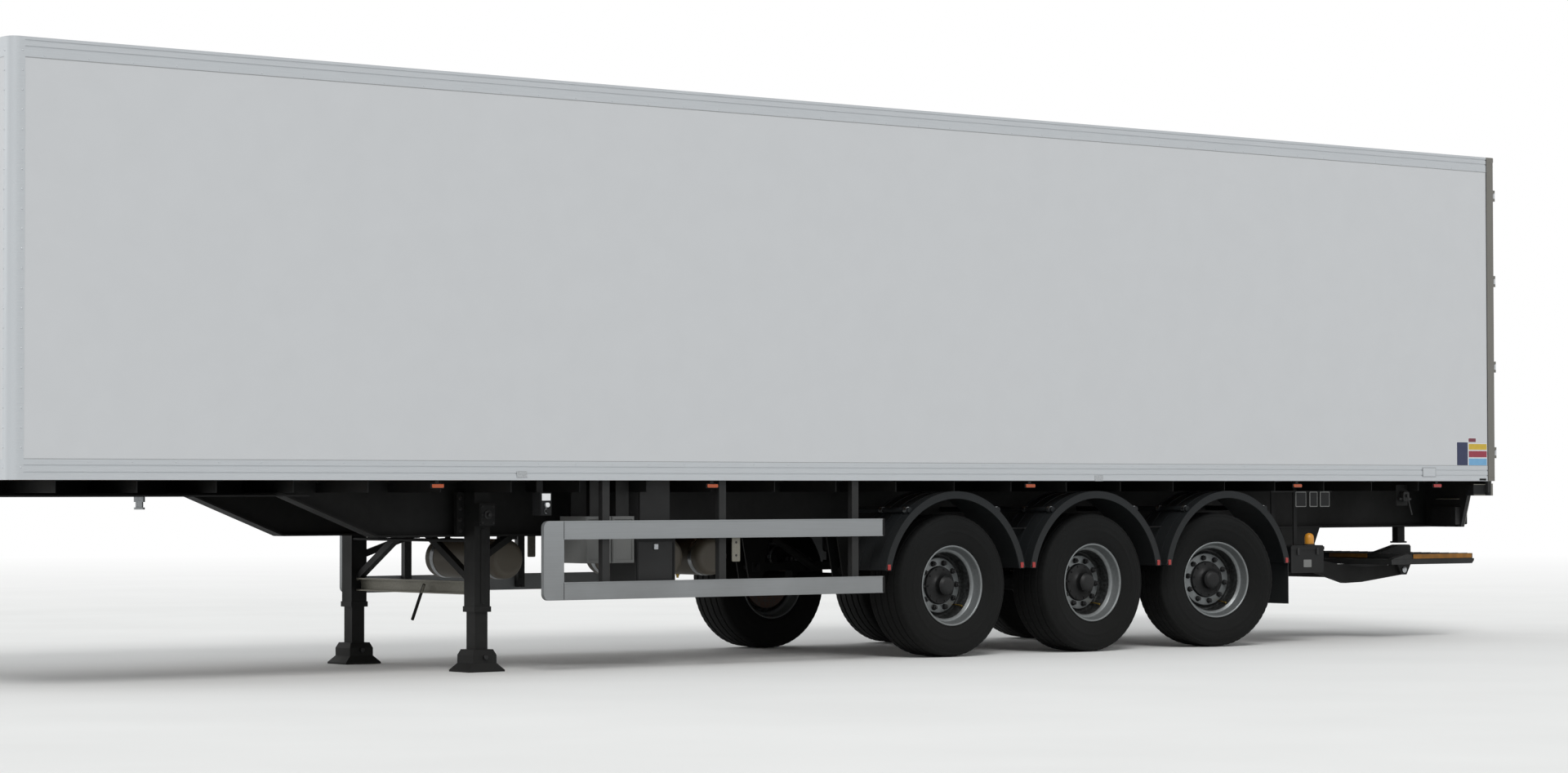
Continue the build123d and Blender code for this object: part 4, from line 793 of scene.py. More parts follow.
@dataclass
class Wheels:
    """Tyres, deep-dished rims, hubs and brake discs: one set of turned forms, put in place on every wheel."""

    radius: float = AXLE_Z
    groove_y: tuple[float, ...] = (-0.104, -0.036, 0.036, 0.104)
    groove_half: float = 0.0065
    groove_deep: float = 0.013
    groove_edge: float = 0.0015
    crown_drop: float = 0.0035
    tread_steps: int = 240
    tread_half: float = 0.166
    shoulder: float = 0.130
    sipe_deep: float = 0.0035
    sipe_band: float = 0.011
    disc_face: float = 0.0125
    stud_circle: float = 0.1675
    studs: int = 10
    hub_cap_radius: float = 0.138
    hub_bolt_circle: float = 0.121
    disc_vents: int = 24
    # Radii between which a rim's well is darkened by painted shade and brake dust, and the width of its fade
    well_shade_and_dust_radius: Pair = (0.1985, 0.2480)
    well_shade_and_dust_fade: float = 0.006
    valve_turn: float = 209.0
    stops: tuple[float, ...] = (19.5, 14.0, 8.8)

    def build(self) -> None:
        """Makes the forms once and places them on the six wheel bodies, each axle stopped at its own turn."""
        forms = (("tyre_skin", self.tyre(), TYRE, "tyre"), ("rim_dish", self.rim(), RIM, "rim"),
                 ("hub", self.hub(), HUB, None), ("wheel_nuts", self.nuts(), DARK_STEEL, None),
                 ("brake_disc", self.brake_disc(), IRON, None), ("valve", self.valve(), BRASS, None))
        for joint in frame["record"]["behaviour"]["joints"]:
            body = joint["child"]
            if not body.startswith("wheel"):
                continue
            axis, middle = joint["axis"], joint["pos_m"]
            label = body.removeprefix("wheel_")
            turn = math.degrees(math.atan2(-axis[0], axis[1])) + (180 if label.endswith("right") else 0)
            stop = self.stops[int(label[0]) - 1]
            for name, form, finish, node in forms:
                form = form.turned(Axis.Y, stop).turned(Axis.Z, turn).moved(*middle)
                piece = make_object(f"{name}_{label}", form, body, finish)
                # The rim's well is darkened: painted shade with brake dust
                if finish is RIM:
                    self.soil(piece.data, np.array(middle), np.array(axis))
                if node:
                    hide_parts(f"{node}_{label}")

    def soil(self, mesh: bpy.types.Mesh, middle: np.ndarray, axis: np.ndarray) -> None:
        """Painted shade with brake dust in the well of a rim, faded out where the disc's flat face and the
        step begin.

        Args:
            mesh: the rim's mesh, in its place.
            middle: the wheel's middle.
            axis: direction of its axle.
        """
        place = np.empty(len(mesh.vertices) * 3, dtype=np.float32)
        mesh.vertices.foreach_get("co", place)
        place = place.reshape(-1, 3) - middle
        along = place @ axis
        radius = np.linalg.norm(place - along[:, None] * axis, axis=1)
        low, high = self.well_shade_and_dust_radius
        share = (np.clip((radius - low) / self.well_shade_and_dust_fade, 0, 1)
                 * np.clip((high - radius) / self.well_shade_and_dust_fade, 0, 1))
        layer = mesh.attributes.new(WELL_SHADE_AND_DUST, "FLOAT", "POINT")
        layer.data.foreach_set("value", share.astype(np.float32))

    def tyre(self) -> Shape:
        """Wide trailer tyre: sidewall with fine rings, round shoulders and a tread with four grooves.

        Returns:
            The tyre about the Y axis, in a wheel's own frame.
        """
        side = [(0.147, 0.2885), (0.163, 0.2915), (0.1675, 0.298), (0.1665, 0.305), (0.1715, 0.312),
                (0.1795, 0.335), (0.1855, 0.362), (0.1885, 0.388), (0.1905, 0.392), (0.1905, 0.397),
                (0.1890, 0.401), (0.1900, 0.415), (0.1885, 0.432), (0.1895, 0.436), (0.1885, 0.441),
                (0.1855, 0.455), (0.1860, 0.460), (0.1835, 0.465), (0.1790, 0.480), (0.1750, 0.4905),
                (0.1765, 0.4945), (0.1725, 0.503), (0.1650, 0.5105), (0.154, 0.515)]
        half, edge = self.groove_half, self.groove_edge
        tread = []
        for y in self.groove_y:
            crown = self.radius - self.crown_drop * (abs(y) / self.groove_y[-1]) ** 2
            floor = crown - self.groove_deep
            tread += [(y - half - edge, crown), (y - half, crown - edge), (y - half * 0.6, floor),
                      (y + half * 0.6, floor), (y + half, crown - edge), (y + half + edge, crown)]
        left = [(-y, r) for y, r in side]
        skin = lathe(left + tread + side[::-1], self.tread_steps, closed=True)
        return Shape(self.siped(skin.corners), skin.faces)

    def siped(self, corners: np.ndarray) -> np.ndarray:
        """Cuts across the ribs: every fourth column at the shoulders and every eighth between them sinks.

        Args:
            corners: the tyre's points, column by column.

        Returns:
            The same points, those of a cut drawn in towards the axle by its depth.
        """
        radius = np.hypot(corners[:, 0], corners[:, 2])
        away = np.abs(corners[:, 1])
        column = np.arange(len(corners)) % self.tread_steps
        crown = (radius > self.radius - self.sipe_band) & (away < self.tread_half)
        cut = crown & (column % 4 == 0) & ((away > self.shoulder) | (column % 8 == 0))
        share = np.where(cut, 1 - self.sipe_deep / radius, 1.0)
        return corners * np.stack([share, np.ones_like(share), share], axis=-1)

    def rim(self) -> Shape:
        """Steel rim as one closed profile: rolled lips, tapered seats, a stepped well and a deep-set disc.

        Returns:
            The rim about the Y axis, its dish open towards +Y.
        """
        lip = [(0.1625, 0.2935), (0.1680, 0.2925), (0.1700, 0.2890), (0.1690, 0.2840), (0.1650, 0.2800),
               (0.1580, 0.2775), (0.1500, 0.2755), (0.1040, 0.2655), (0.0995, 0.2630), (0.0960, 0.2580),
               (0.0880, 0.2450), (0.0850, 0.2415), (0.0800, 0.2400)]
        face = [(0.0040, 0.2395), (-0.0080, 0.2375), (-0.0145, 0.2320), (-0.0155, 0.2230), (-0.0130, 0.2140),
                (-0.0060, 0.2065), (0.0060, 0.2025), (0.0110, 0.2000), (0.0130, 0.1960), (0.0130, 0.1120)]
        back = [(0.0000, 0.1120), (0.0000, 0.1940), (-0.0040, 0.2000), (-0.0220, 0.2080), (-0.0290, 0.2180),
                (-0.0300, 0.2300), (-0.0340, 0.2400)]
        inner_lip = [(-y, r) for y, r in lip[::-1]]
        seats = [(-0.1550, 0.2895), (-0.1040, 0.2720), (-0.0900, 0.2500), (-0.0800, 0.2465)]
        outside = seats + [(-y, r) for y, r in seats[::-1]]
        return lathe(lip + face + back + inner_lip + outside, 128, closed=True)

    def hub(self) -> Shape:
        """Black hub: a flange on the disc, a cone and a long nose with a cap, and its body behind.

        Returns:
            The hub with the ring of bolt heads on its flange.
        """
        body = [(-0.1120, 0.0950), (-0.1080, 0.0990), (-0.0200, 0.1000), (-0.0020, 0.1100), (-0.0020, 0.1420)]
        cap = [(self.disc_face, 0.1420), (0.0160, self.hub_cap_radius), (0.0300, self.hub_cap_radius),
               (0.0345, 0.1340), (0.0370, 0.1080), (0.0450, 0.0900), (0.0560, 0.0740), (0.0640, 0.0680),
               (0.0900, 0.0660), (0.0920, 0.0700), (0.1050, 0.0700), (0.1075, 0.0670), (0.1200, 0.0600),
               (0.1270, 0.0480), (0.1290, 0.0300)]
        heads = bolt(0.007, 0.007).at(ring_places(self.hub_bolt_circle, 0.0350, self.studs))
        return spindle(body + cap, 72) + heads

    def nuts(self) -> Shape:
        """Ten wheel nuts with their washers and stud ends on the stud circle.

        Returns:
            All ten, standing on the disc's outer face.
        """
        stud = spindle([(0, 0.0095), (0.036, 0.0095), (0.038, 0.0075)], 12)
        washer = spindle([(0, 0.0212), (0.004, 0.0212), (0.0065, 0.0192)], 20)
        nut = prism(circle(0.0180, 6), (0.006, 0.028), Axis.Y, 0.0025)
        return (stud + washer + nut).at(ring_places(self.stud_circle, self.disc_face, self.studs))

    def brake_disc(self) -> Shape:
        """Vented brake disc: two cast plates on a bell, with short ribs between them.

        Returns:
            The brake disc, on the inner side of the rim's disc.
        """
        ring = [(-0.066, 0.212), (-0.066, 0.101), (-0.102, 0.101), (-0.102, 0.212), (-0.089, 0.212),
                (-0.089, 0.130), (-0.079, 0.130), (-0.079, 0.212)]
        rib = slab((-0.003, 0.003), (-0.0895, -0.0785), (0.132, 0.208), 0.001)
        turns = np.linspace(0, 360, self.disc_vents, endpoint=False)
        return lathe(ring, 64, closed=True) + joined(rib.turned(Axis.Y, turn) for turn in turns)

    def valve(self) -> Shape:
        """Brass valve stem with its cap: out of the disc's cone and along the well.

        Returns:
            Stem and cap at the valve's own turn about the Y axis.
        """
        place = math.radians(self.valve_turn)
        out = np.array([math.sin(place), 0, math.cos(place)])
        stem = ((0.222, -0.016), (0.216, 0.014), (0.228, 0.066))
        path = bent([tuple(out * radius + (0, along, 0)) for radius, along in stem], 0.012)
        cap = np.linspace(out * 0.2265 + (0, 0.060, 0), out * 0.2300 + (0, 0.076, 0), 3)
        return tube(path, 0.0050, 10) + tube(cap, 0.0072, 10)


@dataclass
class BoxBody:
    """Fine pieces of the closed body: sealant, rivets, trims, door seals, catches, plates and couplings."""

    rear: float = span("side_rails", Axis.X)[0]
    front: float = span("side_rails", Axis.X)[1]
    front_face: float = span("front_frame", Axis.X)[1]
    panel: float = span("side_walls", Axis.Y)[1]
    door_face: float = span("lock_gear_left", Axis.X)[1]
    door_y: Pair = (span("door_left", Axis.Y)[0], joint_place("door_left_hinge")[1])
    door_z: Pair = span("door_left", Axis.Z)
    seams: Pair = span("side_walls", Axis.Z)
    coupling_z: float = 1.348
    hinge_z: tuple[float, ...] = (1.520, 2.230, 2.940, 3.650)
    hinge_bolts: tuple[float, ...] = (0.115, 0.085, 0.045)
    rod_y: Pair = (0.300, 0.880)
    guide_z: tuple[float, ...] = (1.480, 2.080, 2.680, 3.280, 3.760)
    handle_z: float = 2.380
    handle_long: float = 0.420

    def build(self) -> None:
        """Makes every piece of the body."""
        length, skin = (self.rear, self.front), (self.panel - 0.002, self.panel + 0.0022)
        beads = joined(slab(length, skin, around(z, 0.0045), 0.001) for z in self.seams)
        make_object("panel_sealant", beads.paired(), TRAILER, SEALANT)
        self.rivets()
        self.rear_corner()
        self.rail_plates()
        self.colour_plates()
        self.hood()
        self.inside()
        self.couplings()
        for name, side in SIDES:
            self.door_trim(name, side)

    def rivets(self) -> None:
        """Rivet heads down the front corner posts, and flat ones that hold the rails to the panels."""
        head = spindle([(0, 0.0065), (0.0012, 0.006), (0.003, 0.0035), (0.0034, 0)], 12)
        rows = np.arange(1.36, 3.94, 0.12)
        sides = head.at([(6.717, WALL, z) for z in rows]).paired()
        ahead = head.turned(Axis.Z, -90).at([(self.front_face, y, z) for z in rows for y in (-1.2, 1.2)])
        flat = spindle([(-0.0005, 0.0060), (0.0008, 0.0058), (0.0020, 0.0035), (0.0023, 0)], 10)
        columns = np.arange(self.rear + 0.12, self.front, 0.305)
        rails = (self.seams[0] - 0.014, self.seams[1] + 0.012)
        make_pieces(TRAILER, ("corner_rivets", sides + ahead, RAIL),
                    ("rail_rivets", flat.at([(x, WALL, z) for x in columns for z in rails]).paired(), RAIL))

    def rear_corner(self) -> None:
        """Dark box with pale edges under each rear corner, and a strip on the deep crossmember's front."""
        x, y, z = (self.rear + 0.002, -6.515), (1.165, 1.250), (1.165, 1.263)
        strip = slab((x[0], x[1] - 0.002), (y[0] + 0.004, y[1] + 0.0015), (-0.003, 0.003), 0.001)
        edges = strip.at([(0, 0, level) for level in grown(z, -0.006)])
        flat = slab((self.rear, self.rear + 0.030), (0.735, 0.970), (1.133, 1.141), 0.001)
        make_pieces(TRAILER, ("corner_boxes", plate(x, z, 0.006, y, 0.004).paired(), BOX_BLACK),
                    ("corner_box_edges", edges.paired(), GALVANISED),
                    ("crossmember_stiffeners", flat.paired(), GALVANISED))

    def rail_plates(self) -> None:
        """Small plates on the left bottom rail: two bare, one with a border, and a dark one at the rear."""
        large_x, large_z = (-6.014, -5.862), (1.322, 1.392)
        table = (((3.008, 3.092), (1.302, 1.346), STEEL), ((-2.272, -2.188), (1.282, 1.326), STEEL),
                 (large_x, large_z, RAIL), ((-6.640, -6.560), (1.290, 1.306), BOX_BLACK))
        for index, (x, z, finish) in enumerate(table, start=1):
            make_object(f"rail_plate_{index}", slab(x, (WALL, WALL + 0.0035), z, 0.0012), TRAILER, finish)
        border = frame_of(grown(large_x, 0.003), grown(large_z, 0.003), 0.004, (WALL, WALL + 0.0045), Axis.Y)
        make_object("rail_plate_border", border, TRAILER, GUARD)

    def colour_plates(self) -> None:
        """Blank coloured plates with white borders near the rear end of the left wall."""
        y = self.panel
        foot, wide = 1.4118, (-6.656, -6.426)
        for name, finish, x, z in (
                ("navy", NAVY, (-6.42, -6.28), (foot, 1.607)),
                ("maroon", MAROON, (-6.52, -6.424), (1.603, 1.640)),
                ("yellow", SIGN_YELLOW, wide, (1.540, 1.594)), ("crimson", CRIMSON, wide, (1.478, 1.536)),
                ("blue", SKY, wide, (foot, 1.474))):
            border = plate(x, z, 0.004, (y, y + 0.0012), 0.0004, 3)
            face = plate(grown(x, -0.003), grown(z, -0.003), 0.003, (y + 0.001, y + 0.0018), 0.0003, 3)
            make_pieces(TRAILER, (f"plate_border_{name}", border, SIGN_WHITE),
                        (f"plate_{name}", face, finish))

    def hood(self) -> None:
        """Drip edge along the rear hood, and the portal's side plates with the dark seam ahead of them."""
        edge = slab((-6.757, -6.748), (-WALL, WALL), (3.927, 3.962), 0.002)
        ends = slab((-6.745, -6.668), (WALL - 0.0005, WALL + 0.0015), (1.32, 3.92), 0.0006)
        seam = slab((-6.6685, -6.6615), (WALL - 0.0005, WALL + 0.0010), (1.29, 3.95), 0.0004)
        make_pieces(TRAILER, ("hood_drip_edge", edge, PORTAL), ("portal_side_plates", ends.paired(), PORTAL),
                    ("portal_seams", seam.paired(), RUBBER))

    def inside(self) -> None:
        """Kick strips along the walls and bows under the roof, seen when the doors stand open."""
        inner = WALL - 0.033
        length = grown((self.rear, self.front), -0.02)
        strip = slab(length, (inner - 0.004, inner - 0.0005), (1.418, 1.640), 0.001)
        section = np.array([(-0.03, 3.925), (-0.022, 3.893), (0.022, 3.893), (0.03, 3.925)])
        bow = prism(section, (-1.19, 1.19), Axis.Y)
        make_pieces(TRAILER, ("kick_strips", strip.paired(), RAIL),
                    ("roof_bows", bow.at([(x, 0, 0) for x in np.arange(-6.0, 6.5, 0.6)]), RAIL))

    def couplings(self) -> None:
        """Bracket on the front beam with two air couplings and three round sockets."""
        face, z = self.front_face, self.coupling_z
        bracket = prism(rounded((-0.34, 0.34), (1.300, 1.396), 0.012), (face, face + 0.006), Axis.X, 0.0015)
        body = spindle([(0, 0.032), (0.010, 0.032), (0.012, 0.026), (0.028, 0.026), (0.031, 0.022)], 28)
        lid = plate((-0.030, 0.030), (-0.030, 0.034), 0.012, (0.028, 0.036), 0.002)
        socket = (body + lid).turned(Axis.Z, -90)
        head = spindle([(0, 0.016), (0.014, 0.016), (0.016, 0.030), (0.034, 0.030), (0.038, 0.026)], 28)
        head = head.turned(Axis.Z, -90)
        sockets = socket.at([(face + 0.005, y, z) for y in (-0.14, 0.0, 0.14)])
        make_pieces(TRAILER, ("coupling_bracket", bracket, CHASSIS), ("front_sockets", sockets, BOX_BLACK),
                    ("air_coupling_supply", head.at([(face + 0.005, -0.27, z)]), RED_PAINT),
                    ("air_coupling_control", head.at([(face + 0.005, 0.27, z)]), SIGN_YELLOW))

    def door_trim(self, name: str, side: int) -> None:
        """Aluminium edge profile, rubber seal, hinge bolts, guide bolts, catches and grips of one door.

        Args:
            name: the door's side, left or right.
            side: 1 for left and -1 for right, which is the mirror image.
        """
        back, y, z = self.door_face, self.door_y, self.door_z
        trim = frame_of(y, z, 0.052, (-back, -back + 0.003), Axis.X).flipped(Axis.X)
        seal = frame_of(grown(y, 0.003), grown(z, 0.004), 0.012, (-back - 0.03, -back + 0.005), Axis.X)
        head = bolt(0.0075, 0.006).turned(Axis.Z, 90)
        leaf = [(back - 0.007, y[1] - part, pin) for pin in self.hinge_z for part in self.hinge_bolts]
        guide = [(back - 0.007, rod + part, level) for rod in self.rod_y for level in self.guide_z
                 for part in (-0.034, 0.034)]
        tip = (self.rod_y[0] + self.handle_long - 0.035, self.rod_y[1] - self.handle_long + 0.035)
        low, high = around(self.handle_z, 0.017)
        base = slab((back - 0.006, back), (-0.03, 0.03), (low - 0.02, high + 0.02), 0.001)
        jaw = slab((back - 0.052, back - 0.005), (-0.014, 0.014), (low - 0.008, low - 0.003), 0.001)
        catch = base + jaw + jaw.moved(z=high - low + 0.011)
        grip = slab((back - 0.0515, back - 0.0355), (-0.055, 0.055), (low - 0.002, high + 0.002), 0.004)
        grips = grip.at([(0, tip[0] - 0.11, 0), (0, tip[1] + 0.11, 0)])
        for label, shape, finish in (
                ("edge_profile", trim, RAIL), ("seal", seal.flipped(Axis.X), RUBBER),
                ("hinge_bolts", head.at(leaf), STEEL), ("guide_bolts", head.at(guide), STEEL),
                ("handle_catches", catch.at([(0, place, 0) for place in tip]), STEEL),
                ("handle_grips", grips, RUBBER)):
            own = shape if side > 0 else shape.flipped()
            make_object(f"door_{name}_{label}", own, f"door_{name}", finish)


@dataclass
class RunningGear:
    """Air bags' rolled sleeves, U-bolts, pivot nuts and brake chamber bands of the three axles."""

    arm_y: float = 0.560
    arm_top: float = 0.667
    bag: Point = (-0.390, 0.520, 0.757)
    hanger_x: float = 0.470
    hanger_half: float = 0.065
    bow_radius: float = 0.083
    chamber: Pair = (0.812, 0.705)

    def build(self) -> None:
        """Makes the pieces of one corner and sets them at each axle, left and right."""
        for name, shape, finish in (
                ("bag_sleeves", self.bag_sleeve(), RUBBER), ("u_bolts", self.u_bolts(), DARK_STEEL),
                ("axle_clamp_plates", self.clamp_plate(), CHASSIS),
                ("hanger_nuts", self.hanger_nuts(), DARK_STEEL)):
            make_object(name, shape.at([(x, 0, 0) for x in AXLES]).paired(), TRAILER, finish)
        band = lathe([(-0.012, 0.0765), (-0.010, 0.0815), (0.010, 0.0815), (0.012, 0.0765)], 48, closed=True)
        lug = slab((0.074, 0.100), (-0.007, 0.007), (-0.010, 0.010), 0.001)
        clamp = (band + lug + lug.flipped(Axis.X)).at([(x, *self.chamber) for x in AXLES[:2]])
        make_object("chamber_bands", clamp.paired(), TRAILER, STEEL)

    def bag_sleeve(self) -> Shape:
        """Rolled rubber sleeve over its piston: a turned profile that bulges and rolls under at its foot.

        Returns:
            The left sleeve, for an axle at x = 0.
        """
        profile = [(-0.004, 0.110), (-0.011, 0.118), (-0.012, 0.127), (-0.006, 0.136), (0.008, 0.1405),
                   (0.030, 0.1425), (0.052, 0.1420), (0.055, 0.1400), (0.061, 0.1400), (0.064, 0.1420),
                   (0.090, 0.1420), (0.106, 0.1390), (0.114, 0.1310), (0.117, 0.1180), (0.1175, 0.100),
                   (0.112, 0.098), (0.002, 0.104)]
        return lathe(profile, 56, closed=True).turned(Axis.X, 90).moved(*self.bag)

    def u_bolts(self) -> Shape:
        """Two U-bolts round the axle: half a circle below the tube and straight legs with nuts on top.

        Returns:
            Both bolts of the left trailing arm, for an axle at x = 0.
        """
        half, seat = self.bow_radius, self.arm_top + 0.015
        turn = np.linspace(np.pi, 2 * np.pi, 15)
        round_part = np.stack([half * np.cos(turn), 0 * turn, AXLE_Z + half * np.sin(turn)], axis=-1)
        path = np.concatenate([[(-half, 0, seat + 0.025)], round_part, [(half, 0, seat + 0.025)]])
        nut = prism(circle(0.017, 6), (0, 0.018), Axis.Z, 0.002)
        washer = prism(circle(0.021, 16), (-0.003, 0), Axis.Z, 0.0005)
        bow = tube(path, 0.010, 10) + (nut + washer).at([(-half, 0, seat), (half, 0, seat)])
        return bow.at([(0, y, 0) for y in around(self.arm_y, 0.028)])

    def clamp_plate(self) -> Shape:
        """Plate on top of the trailing arm under the U-bolts' nuts."""
        return slab((-0.108, 0.108), around(self.arm_y, 0.052), (self.arm_top, self.arm_top + 0.012), 0.002)

    def hanger_nuts(self) -> Shape:
        """Pivot bolt's head and nut on both cheeks of the hanger, with a square washer plate each.

        Returns:
            Both ends of the left hanger's bolt, for an axle at x = 0.
        """
        washer = plate((-0.036, 0.036), (-0.036, 0.036), 0.008, (0, 0.006), 0.001)
        nut = washer + prism(circle(0.021, 6), (0.006, 0.026), Axis.Y, 0.002)
        z = self.arm_top - 0.030
        inner, outer = around(self.arm_y, self.hanger_half)
        return nut.moved(self.hanger_x, outer, z) + nut.flipped().moved(self.hanger_x, inner, z)


@dataclass
class Mudguards:
    """Ribs, edge beads, clamps and reflectors of the half-round wings, and the last wings' ribbed flaps."""

    radius: float = 0.682
    width: Pair = (0.862, span("mudguards", Axis.Y)[1])
    end: float = 10.0
    tube_x: float = 0.430
    tube_above: float = 0.017
    rib_y: tuple[float, ...] = (0.955, 1.062, 1.169)
    clamp_y: Pair = (0.935, 1.205)
    brace: Pair = (1.060, 0.930)
    flap_ribs: int = 15

    def build(self) -> None:
        """Makes one wing's pieces and repeats them over the axles."""
        for name, shape, finish in (("wing_ribs", self.ribs(), WING), ("wing_clamps", self.clamps(), STEEL),
                                    ("wing_reflectors", self.reflectors(), RED_LENS)):
            make_object(name, shape.at([(x, 0, 0) for x in AXLES]).paired(), TRAILER, finish)
        make_pieces(TRAILER, ("flap_ribs", self.flap().moved(AXLES[-1]).paired(), RUBBER),
                    ("wing_braces", self.braces().paired(), DARK_STEEL))

    def ribs(self) -> Shape:
        """Three shallow ribs along the wing's curve, a bead at both edges and a flange at both ends.

        Returns:
            Ribs, beads and flanges of the left wing, for an axle at x = 0.
        """
        top, middle, reach = self.radius, (0.0, AXLE_Z), (self.end + 1, 179 - self.end)
        ribs = [arc_strip(middle, (top - 0.001, top + 0.005), around(y, 0.008), reach) for y in self.rib_y]
        beads = [arc_strip(middle, (top - 0.004, top + 0.006), around(y, 0.0065), reach)
                 for y in grown(self.width, -0.006)]
        flanges = [arc_strip(middle, (top - 0.010, top + 0.008), self.width, (start, start + 1.0), 3)
                   for start in (self.end + 0.4, 178.6 - self.end)]
        return joined(ribs + beads + flanges)

    def clamps(self) -> Shape:
        """Two clamp bands with a foot on each of the wing's tubes, leaning as the wing does there.

        Returns:
            The left wing's four clamps, for an axle at x = 0.
        """
        ring = lathe([(-0.016, 0.0203), (-0.016, 0.0235), (0.016, 0.0235), (0.016, 0.0203)], 24, closed=True)
        clamp = ring + slab((-0.040, 0.040), (-0.016, 0.016), (-0.0235, -0.019), 0.001)
        reach = self.radius + self.tube_above
        parts = []
        for x in (-self.tube_x, self.tube_x):
            z = AXLE_Z + math.sqrt(reach**2 - x**2)
            leaning = clamp.turned(Axis.Y, math.degrees(math.asin(x / reach)))
            parts.append(leaning.at([(x, y, z) for y in self.clamp_y]))
        return joined(parts)

    def reflectors(self) -> Shape:
        """Small red reflectors on the outer lip at both lower ends of the wing.

        Returns:
            The left wing's two reflectors, for an axle at x = 0.
        """
        end = math.radians(self.end)
        level, reach = AXLE_Z + self.radius * math.sin(end) + 0.024, self.radius * math.cos(end) - 0.026
        y, z = (self.width[1] - 0.001, self.width[1] + 0.005), around(level, 0.020)
        return joined(plate(around(x, 0.014), z, 0.004, y, 0.0015) for x in (-reach, reach))

    def braces(self) -> Shape:
        """Thin rods that tie neighbouring wings together, level with their shoulders.

        Returns:
            The left side's two rods with a bolt head at each end, in place.
        """
        y, level = self.brace
        reach = math.sqrt(self.radius**2 - (level - AXLE_Z) ** 2)
        head = bolt(0.011, 0.009)
        rods = []
        for ahead, behind in zip(AXLES, AXLES[1:]):
            ends = np.linspace([ahead - reach, y, level], [behind + reach, y, level], 6)
            rods.append(tube(ends, 0.0065, 10))
            rods += [head.turned(Axis.Z, 90).moved(*ends[0]), head.turned(Axis.Z, -90).moved(*ends[-1])]
        return joined(rods)

    def flap(self) -> Shape:
        """Upright ribs down the back of the flap, with a bolted bar across its top.

        Returns:
            Ribs, bar and bolt heads of the left flap, for an axle at x = 0.
        """
        x = -self.radius * math.cos(math.radians(self.end)) - 0.008
        low, high = self.width
        rib = slab((x - 0.004, x + 0.001), (-0.005, 0.005), (0.335, 0.600), 0.0015)
        ribs = rib.at([(0, y, 0) for y in np.linspace(low + 0.02, high - 0.034, self.flap_ribs)])
        bar = slab((x - 0.005, x), (low + 0.01, high - 0.02), (0.630, 0.660), 0.001)
        head = bolt(0.008, 0.006).turned(Axis.Z, 90)
        return ribs + bar + head.at([(x - 0.005, y, 0.645) for y in (0.90, 0.99, 1.12, 1.21)])


@dataclass
class LandingLegs:
    """Bolts, collars, gearbox covers and foot pins of the landing legs."""

    x: float = sum(span("landing_legs", Axis.X)) / 2
    y: float = 0.765
    half: float = 0.0625
    low: float = 0.405
    shaft_z: float = 1.055
    bolt_z: tuple[float, ...] = (0.945, 1.020, 1.095, 1.165)

    def build(self) -> None:
        """Makes the left leg's pieces and mirrors them."""
        x, y, half = self.x, self.y, self.half
        heads = bolt(0.011, 0.009).at([(place, y - half, z)
                                       for place in around(x, 0.093) for z in self.bolt_z])
        collar = frame_of(around(x, half + 0.006), around(y, half + 0.006), 0.014,
                          (self.low - 0.004, self.low + 0.034), Axis.Z)
        face = y + half + 0.060
        cover = plate(around(x, 0.056), around(self.shaft_z, 0.068), 0.016, (face, face + 0.006), 0.002)
        screws = bolt(0.006, 0.005).at([(place, face + 0.006, self.shaft_z + level)
                                        for place in around(x, 0.044) for level in (-0.055, 0.0, 0.055)])
        stub = spindle([(0, 0.030), (0.008, 0.030), (0.010, 0.016), (0.034, 0.016), (0.036, 0.013)], 24)
        pin = prism(circle(0.016, 20), around(y, 0.112), Axis.Y, 0.002).moved(x, 0, 0.098)
        strap = slab(around(x, 0.012), (y + half, y + half + 0.006), (self.low + 0.05, 0.96), 0.0015)
        bolts = heads + screws + stub.moved(x, face + 0.005, self.shaft_z)
        make_pieces(TRAILER, ("leg_collars", collar.paired(), CHASSIS),
                    ("leg_gear_covers", (cover + strap).paired(), CHASSIS),
                    ("leg_bolts", bolts.paired(), DARK_STEEL), ("leg_foot_pins", pin.paired(), DARK_STEEL))


@dataclass
class SideGuards:
    """Ribs along the guard rails, end caps, hook plates and strut bolts."""

    reach: Pair = (span("side_guards", Axis.X)[0], 2.700)
    rails: tuple[Pair, Pair] = ((0.482, 0.602), (0.888, 1.013))
    out: float = span("side_guards", Axis.Y)[1]
    thick: float = 0.032
    struts: tuple[float, ...] = (0.130, 1.330, 2.330)
    hook_x: float = 1.210

    def build(self) -> None:
        """Makes the left guard's pieces and mirrors them."""
        rear, front = self.reach
        out, back = self.out, self.out - self.thick
        ribs, caps, heads, joints = [], [], [], []
        for rail in self.rails:
            ribs += [slab(self.reach, (out - 0.001, out + 0.0018), around(z, 0.0045), 0.0008)
                     for z in grown(rail, -0.005)]
            joint = slab(around(front, 0.002), (out - 0.001, out + 0.0012), grown(rail, -0.001), 0.0004)
            cap = slab((rear - 0.008, rear + 0.012), (back - 0.002, out + 0.003), grown(rail, 0.002), 0.003)
            joints.append(joint)
            caps.append(cap)
            heads += [(x, back - 0.045, z) for x in self.struts for z in around(sum(rail) / 2, 0.03)]
        hook = plate(around(self.hook_x, 0.035), (0.722, 0.960), 0.010, (back - 0.008, back), 0.001)
        # The holes are drawn as black discs: painted shade in the openings
        hole = spindle([(0, 0.009), (0.0012, 0.0085)], 16)
        holes = hole.at([(self.hook_x, back, z) for z in (0.765, 0.855)])
        make_pieces(TRAILER, ("guard_rail_ribs", joined(ribs).paired(), GUARD),
                    ("guard_end_caps", joined(caps).paired(), BOX_BLACK),
                    ("guard_joints", joined(joints).paired(), BOX_BLACK),
                    ("guard_hook_plates", hook.paired(), GALVANISED),
                    ("guard_hook_holes", holes.paired(), RUBBER),
                    ("guard_bolts", bolt(0.009, 0.007).flipped().at(heads).paired(), DARK_STEEL))


